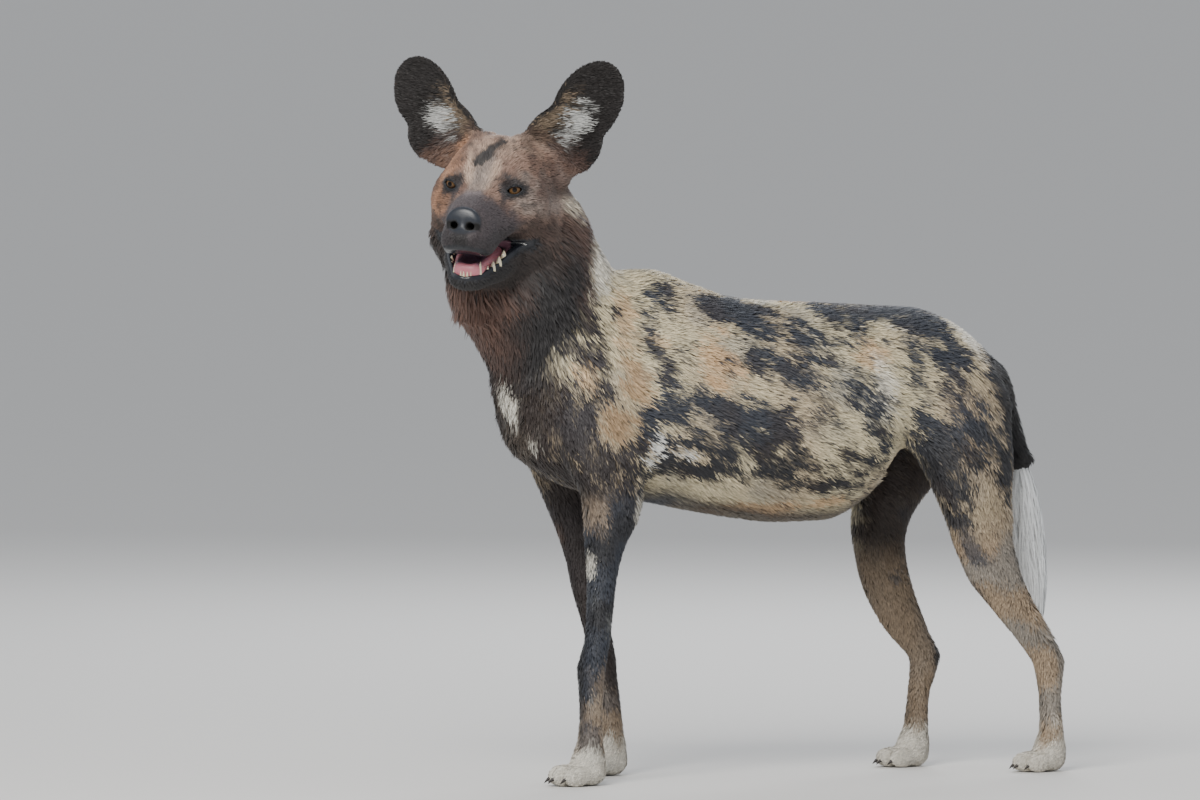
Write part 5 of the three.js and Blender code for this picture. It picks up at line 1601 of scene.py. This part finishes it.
# The brush of the tail: long white locks round the tail's thin end.
BRUSH_REACH = curve([168, 180, 205, 245, 285, 325, 365, 405, 425], [2, 9, 17, 24, 26, 24, 21, 19, 19])
BRUSH_MIDDLE = curve([168, 205, 245, 285, 325, 365, 405, 430], [383, 380, 375, 372, 369, 365, 361, 352])


def tail_brush(count, rings):
    """The points of locks that start round the tail's thin end and hang to a rounded tip."""
    top = draw.uniform(206, 407, count)
    angle = draw.uniform(0, 2 * math.pi, count)
    length = draw.uniform(55, 95, count) * np.clip((top - 140) / 120, 0.45, 1)
    outer = draw.uniform(0.2, 1.08, count)
    width = draw.uniform(3.0, 5.6, count)
    sway = draw.normal(0, 0.25, count)
    rows = []
    for ring in range(rings + 2):
        t = ring / (rings + 1)
        z = np.maximum(top - length * t, 166)
        reach = 4 + (BRUSH_REACH(z) * outer - 4) * smooth(np.full(count, 0.3 + t))
        turned = angle + sway * t
        radial = np.stack([np.cos(turned), np.sin(turned), 0 * turned], 1)
        middle = np.stack([BRUSH_MIDDLE(z), 0 * z, z], 1) + radial * reach[:, None]
        side = np.stack([-np.sin(turned), np.cos(turned), 0 * turned], 1)
        half = (width * 0.5 * (1 - t) ** 0.5)[:, None]
        rows += [middle] if ring == rings + 1 else [middle - side * half, middle + side * half]
    return np.stack(rows, 1)


BRUSH_LOCKS, BRUSH_RINGS = 9000, 5
points = tail_brush(BRUSH_LOCKS, BRUSH_RINGS)
faces = tuft_faces(BRUSH_LOCKS, BRUSH_RINGS)
per = points_a_tuft(BRUSH_RINGS)
brush = new_mesh("tail_brush_hair", points.reshape(-1, 3), faces, smooth_shading=False)
roots = points[:, 0]
brush_colour = np.tile(linear((244, 246, 246)), (len(roots), 1))
add_colour(brush, shaded(brush_colour, per, draw, root=0.75, tip=1.0, vary=0.08))
bake_map(brush, unwrap_tail(roots), per)
finish_piece(brush, fur_look, ["tail_brush"])


# Eyes: a ball with a clear bulge over the iris.
IRIS, PUPIL = 7.6, 3.0


def eyeball(side, rings=40, around_it=48):
    gaze, outward, centre = eye_frame(side)
    high = np.cross(gaze, outward)
    points = [centre + gaze * (EYE_RADIUS + 0.9)]
    faces = []
    front_angles = np.linspace(0, 0.75, rings // 2 + 1)[1:]
    angles = np.concatenate([front_angles, np.linspace(0.75, 2.4, rings // 2)[1:]])
    for angle in angles:
        radius = EYE_RADIUS + 0.9 * math.exp(-((angle / 0.55) ** 4))
        for k in range(around_it):
            t = 2 * math.pi * k / around_it
            ring = outward * math.cos(t) + high * math.sin(t)
            points.append(centre + radius * (gaze * math.cos(angle) + ring * math.sin(angle)))
    points.append(centre - gaze * EYE_RADIUS)
    last = len(points) - 1
    for k in range(around_it):
        after = (k + 1) % around_it
        faces.append([0, 1 + k, 1 + after])
        for ring in range(len(angles) - 1):
            a = 1 + ring * around_it
            faces.append([a + k, a + around_it + k, a + around_it + after, a + after])
        a = 1 + (len(angles) - 1) * around_it
        faces.append([a + after, a + k, last])
    points = np.array(points)
    r = points - centre
    away = np.linalg.norm(r - (r @ gaze)[:, None] * gaze, axis=1)
    away[r @ gaze < 0] = 20
    turned = np.arctan2(r @ high, r @ outward)
    streak = 0.5 + 0.5 * np.sin(turned * 23 + 3 * np.sin(turned * 7))
    iris = mixed(np.tile(linear((104, 78, 50)), (len(points), 1)), linear((66, 46, 30)), streak * 0.5)
    # Painted shadow of the upper lid over the top of the iris.
    iris = mixed(iris, linear((34, 24, 18)), 0.75 * smooth((r @ high - 0.5) / 3))
    iris = mixed(iris, linear((34, 22, 14)), smooth((away - IRIS + 1.4) / 1.2))
    colour = mixed(iris, linear((6, 6, 7)), smooth((PUPIL + 0.4 - away) / 0.5))
    colour = mixed(colour, linear((22, 17, 15)), smooth((away - IRIS - 0.2) / 1.0))
    ball = new_mesh("eye_ball_left" if side > 0 else "eye_ball_right", from_head(points), faces)
    add_colour(ball, colour)
    return ball


for side in SIDES:
    finish_piece(eyeball(side), eye_look, ["eye_left" if side > 0 else "eye_right"])


# Teeth and claws are curved, tapering horns.
def horn(path, radii, corners=10):
    """A tapering form along a path that ends in a point."""
    path = np.asarray(path, float)
    along = unit(np.gradient(path, axis=0))
    aside = unit(np.cross(along, [0.3, 0.1, 0.94]))
    above = np.cross(along, aside)
    angles = np.arange(corners) * 2 * math.pi / corners
    points = []
    for k in range(len(path) - 1):
        ring = np.cos(angles)[:, None] * aside[k] + np.sin(angles)[:, None] * above[k]
        points.append(path[k] + ring * radii[k])
    points = np.concatenate(points + [path[-1:], path[:1]])
    rings = len(path) - 1
    tip, root = rings * corners, rings * corners + 1
    faces = []
    for k in range(corners):
        after = (k + 1) % corners
        for ring in range(rings - 1):
            a = ring * corners
            faces.append([a + k, a + after, a + corners + after, a + corners + k])
        a = (rings - 1) * corners
        faces.append([a + k, a + after, tip])
        faces.append([k, root, after])
    return points, faces


def joined(name, horns):
    points, faces, start = [], [], 0
    for some, these in horns:
        points.append(some)
        faces += [[i + start for i in face] for face in these]
        start += len(some)
    return new_mesh(name, np.concatenate(points), faces)


def tooth(root, tip, radius, bend=2.0):
    root, tip = np.array(root, float), np.array(tip, float)
    t = np.linspace(0, 1, 7)[:, None]
    path = root + (tip - root) * t + np.array([-bend, 0, 0]) * t * (1 - t) * 2
    points, faces = horn(path, radius * (1 - t[:, 0] ** 1.7))
    return from_head(points), faces


# The lower cheek teeth: [forwards, across, top, radius].
CHEEK_TEETH = ((38, 22.5, -103, 3.4), (29, 27, -98, 4.4), (17, 31, -93, 5.2), (4, 33.5, -87, 5))
lower_teeth, upper_teeth = [], []
for side in SIDES:
    rise = 5 if side > 0 else 0
    lower_teeth.append(tooth([48, side * 16, -116], [51, side * 16.5, rise - 96], 3.4, -3))
    for forwards, across, top, radius in CHEEK_TEETH:
        top += rise
        aside = side * across
        lower_teeth.append(tooth([forwards, aside, top - 14], [forwards - 1, aside, top], radius, 0))
    for across in (2.4, 6.6, 10.8):
        aside, behind = side * across, across * 0.5
        lower_teeth.append(tooth([61 - behind, aside, -114], [63 - behind, aside, -105], 2.2))
    upper_teeth.append(tooth([61, side * 18, -64], [59, side * 18, -84], 3.8, -3))
    for across in (3, 8, 13):
        aside, behind = side * across, across * 0.5
        upper_teeth.append(tooth([78 - behind, aside, -62], [77 - behind, aside, -75], 2.2))
finish_piece(joined("teeth_lower", lower_teeth), tooth_look)
finish_piece(joined("teeth_upper", upper_teeth), tooth_look)

claws = []
for x, y, size_of in PAWS:
    for t in TOE_PLACES:
        reach = (46 if abs(t) < 1 else 35) * size_of
        bow = np.linspace(0, 1, 6)
        path = np.stack([x - reach + 7 - 15 * size_of * bow, np.full(6, y + t * TOE_GAP * size_of),
                         (12.5 - 1.5 * bow - 7.5 * bow ** 2) * size_of], 1)
        claws.append(horn(path, 3.2 * size_of * (1 - bow ** 2.2)))
finish_piece(joined("claws", claws), horn_look)

# The tongue, with the hollow along its middle.
TONGUE_GRID = [np.arange(-42, 66, 1.6), np.arange(-34, 34.1, 1.6), np.arange(-124, -70, 1.6)]
TONGUE_MIDDLE, TONGUE_RIM = linear((116, 88, 106)), linear((196, 124, 134))
tongue_dish = blob([40, 0, -80], [20, 14.5, 17])


def tongue_form(q):
    return carve(carve(tongue_body(q), tongue_hollow(q), 8), tongue_dish(q), 4) + 0.4 * noise(q, 5, 60)


mesh = np.meshgrid(*TONGUE_GRID, indexing="ij")
field = tongue_form(np.stack([m.ravel() for m in mesh], 1)).reshape(mesh[0].shape)
tongue_points, tongue_quads = surface_nets(field, TONGUE_GRID)
tongue = new_mesh("tongue_flesh", from_head(tongue_points), tongue_quads)
rim = smooth((np.abs(tongue_points[:, 1]) - 13) / 6) + smooth((tongue_points[:, 0] - 50) / 6)
tongue_colour = mixed(np.tile(TONGUE_MIDDLE, (len(tongue_points), 1)), TONGUE_RIM, np.clip(rim, 0, 1))
add_colour(tongue, tongue_colour)
finish_piece(tongue, tongue_look, ["tongue"])


# Floor, light and camera.
def quad_object(name, corners):
    mesh_data = bpy.data.meshes.new(name)
    mesh_data.from_pydata(corners, [], [(0, 1, 2, 3)])
    thing = bpy.data.objects.new(name, mesh_data)
    bpy.context.scene.collection.objects.link(thing)
    return thing


floor = quad_object("floor", [(-60, -60, 0), (60, -60, 0), (60, 60, 0), (-60, 60, 0)])
floor_look = material("floor_look", colour=(0.66, 0.65, 0.63), roughness=0.9, grain_size=900.0)
floor.data.materials.append(floor_look)

world = bpy.data.worlds.new("studio")
bpy.context.scene.world = world
world.use_nodes = True
world.node_tree.nodes["Background"].inputs["Color"].default_value = (0.82, 0.85, 0.9, 1)
world.node_tree.nodes["Background"].inputs["Strength"].default_value = 0.72


def lamp(name, place, energy, width, colour=(1, 1, 1)):
    data = bpy.data.lights.new(name, "AREA")
    data.energy = energy
    data.size = width
    data.color = colour
    thing = bpy.data.objects.new(name, data)
    thing.location = place
    aim = np.array([0, 0, 0.5]) - np.array(place)
    thing.rotation_mode = "QUATERNION"
    thing.rotation_quaternion = Vector(aim).to_track_quat("-Z", "Y")
    bpy.context.scene.collection.objects.link(thing)


lamp("key", (-2.2, -2.6, 3.4), 210, 2.0, (1, 0.97, 0.92))
lamp("rim", (1.8, 2.8, 2.6), 90, 2.0, (0.95, 0.97, 1))

azimuth, elevation = math.radians(-22), math.radians(3)
right = np.array([math.cos(azimuth), math.sin(azimuth), 0])
level = math.cos(elevation)
back = np.array([math.sin(azimuth) * level, -math.cos(azimuth) * level, math.sin(elevation)])
upward = np.cross(back, right)
AWAY, FRAME_WIDTH = 20.0, 1.538
target = right * -0.2051 + upward * 0.4821 + back * 0.05 + PLACE / 1000
camera_data = bpy.data.cameras.new("camera")
camera_data.sensor_width = 36
camera_data.lens = 36 * AWAY / FRAME_WIDTH
camera_data.clip_end = 100
camera = bpy.data.objects.new("camera", camera_data)
camera.location = target + back * AWAY
camera.rotation_mode = "QUATERNION"
camera.rotation_quaternion = Matrix(np.stack([right, upward, back], 1).tolist()).to_quaternion()
bpy.context.scene.collection.objects.link(camera)
bpy.context.scene.camera = camera

print("skin", len(skin_points), "points", len(skin_quads), "quads")
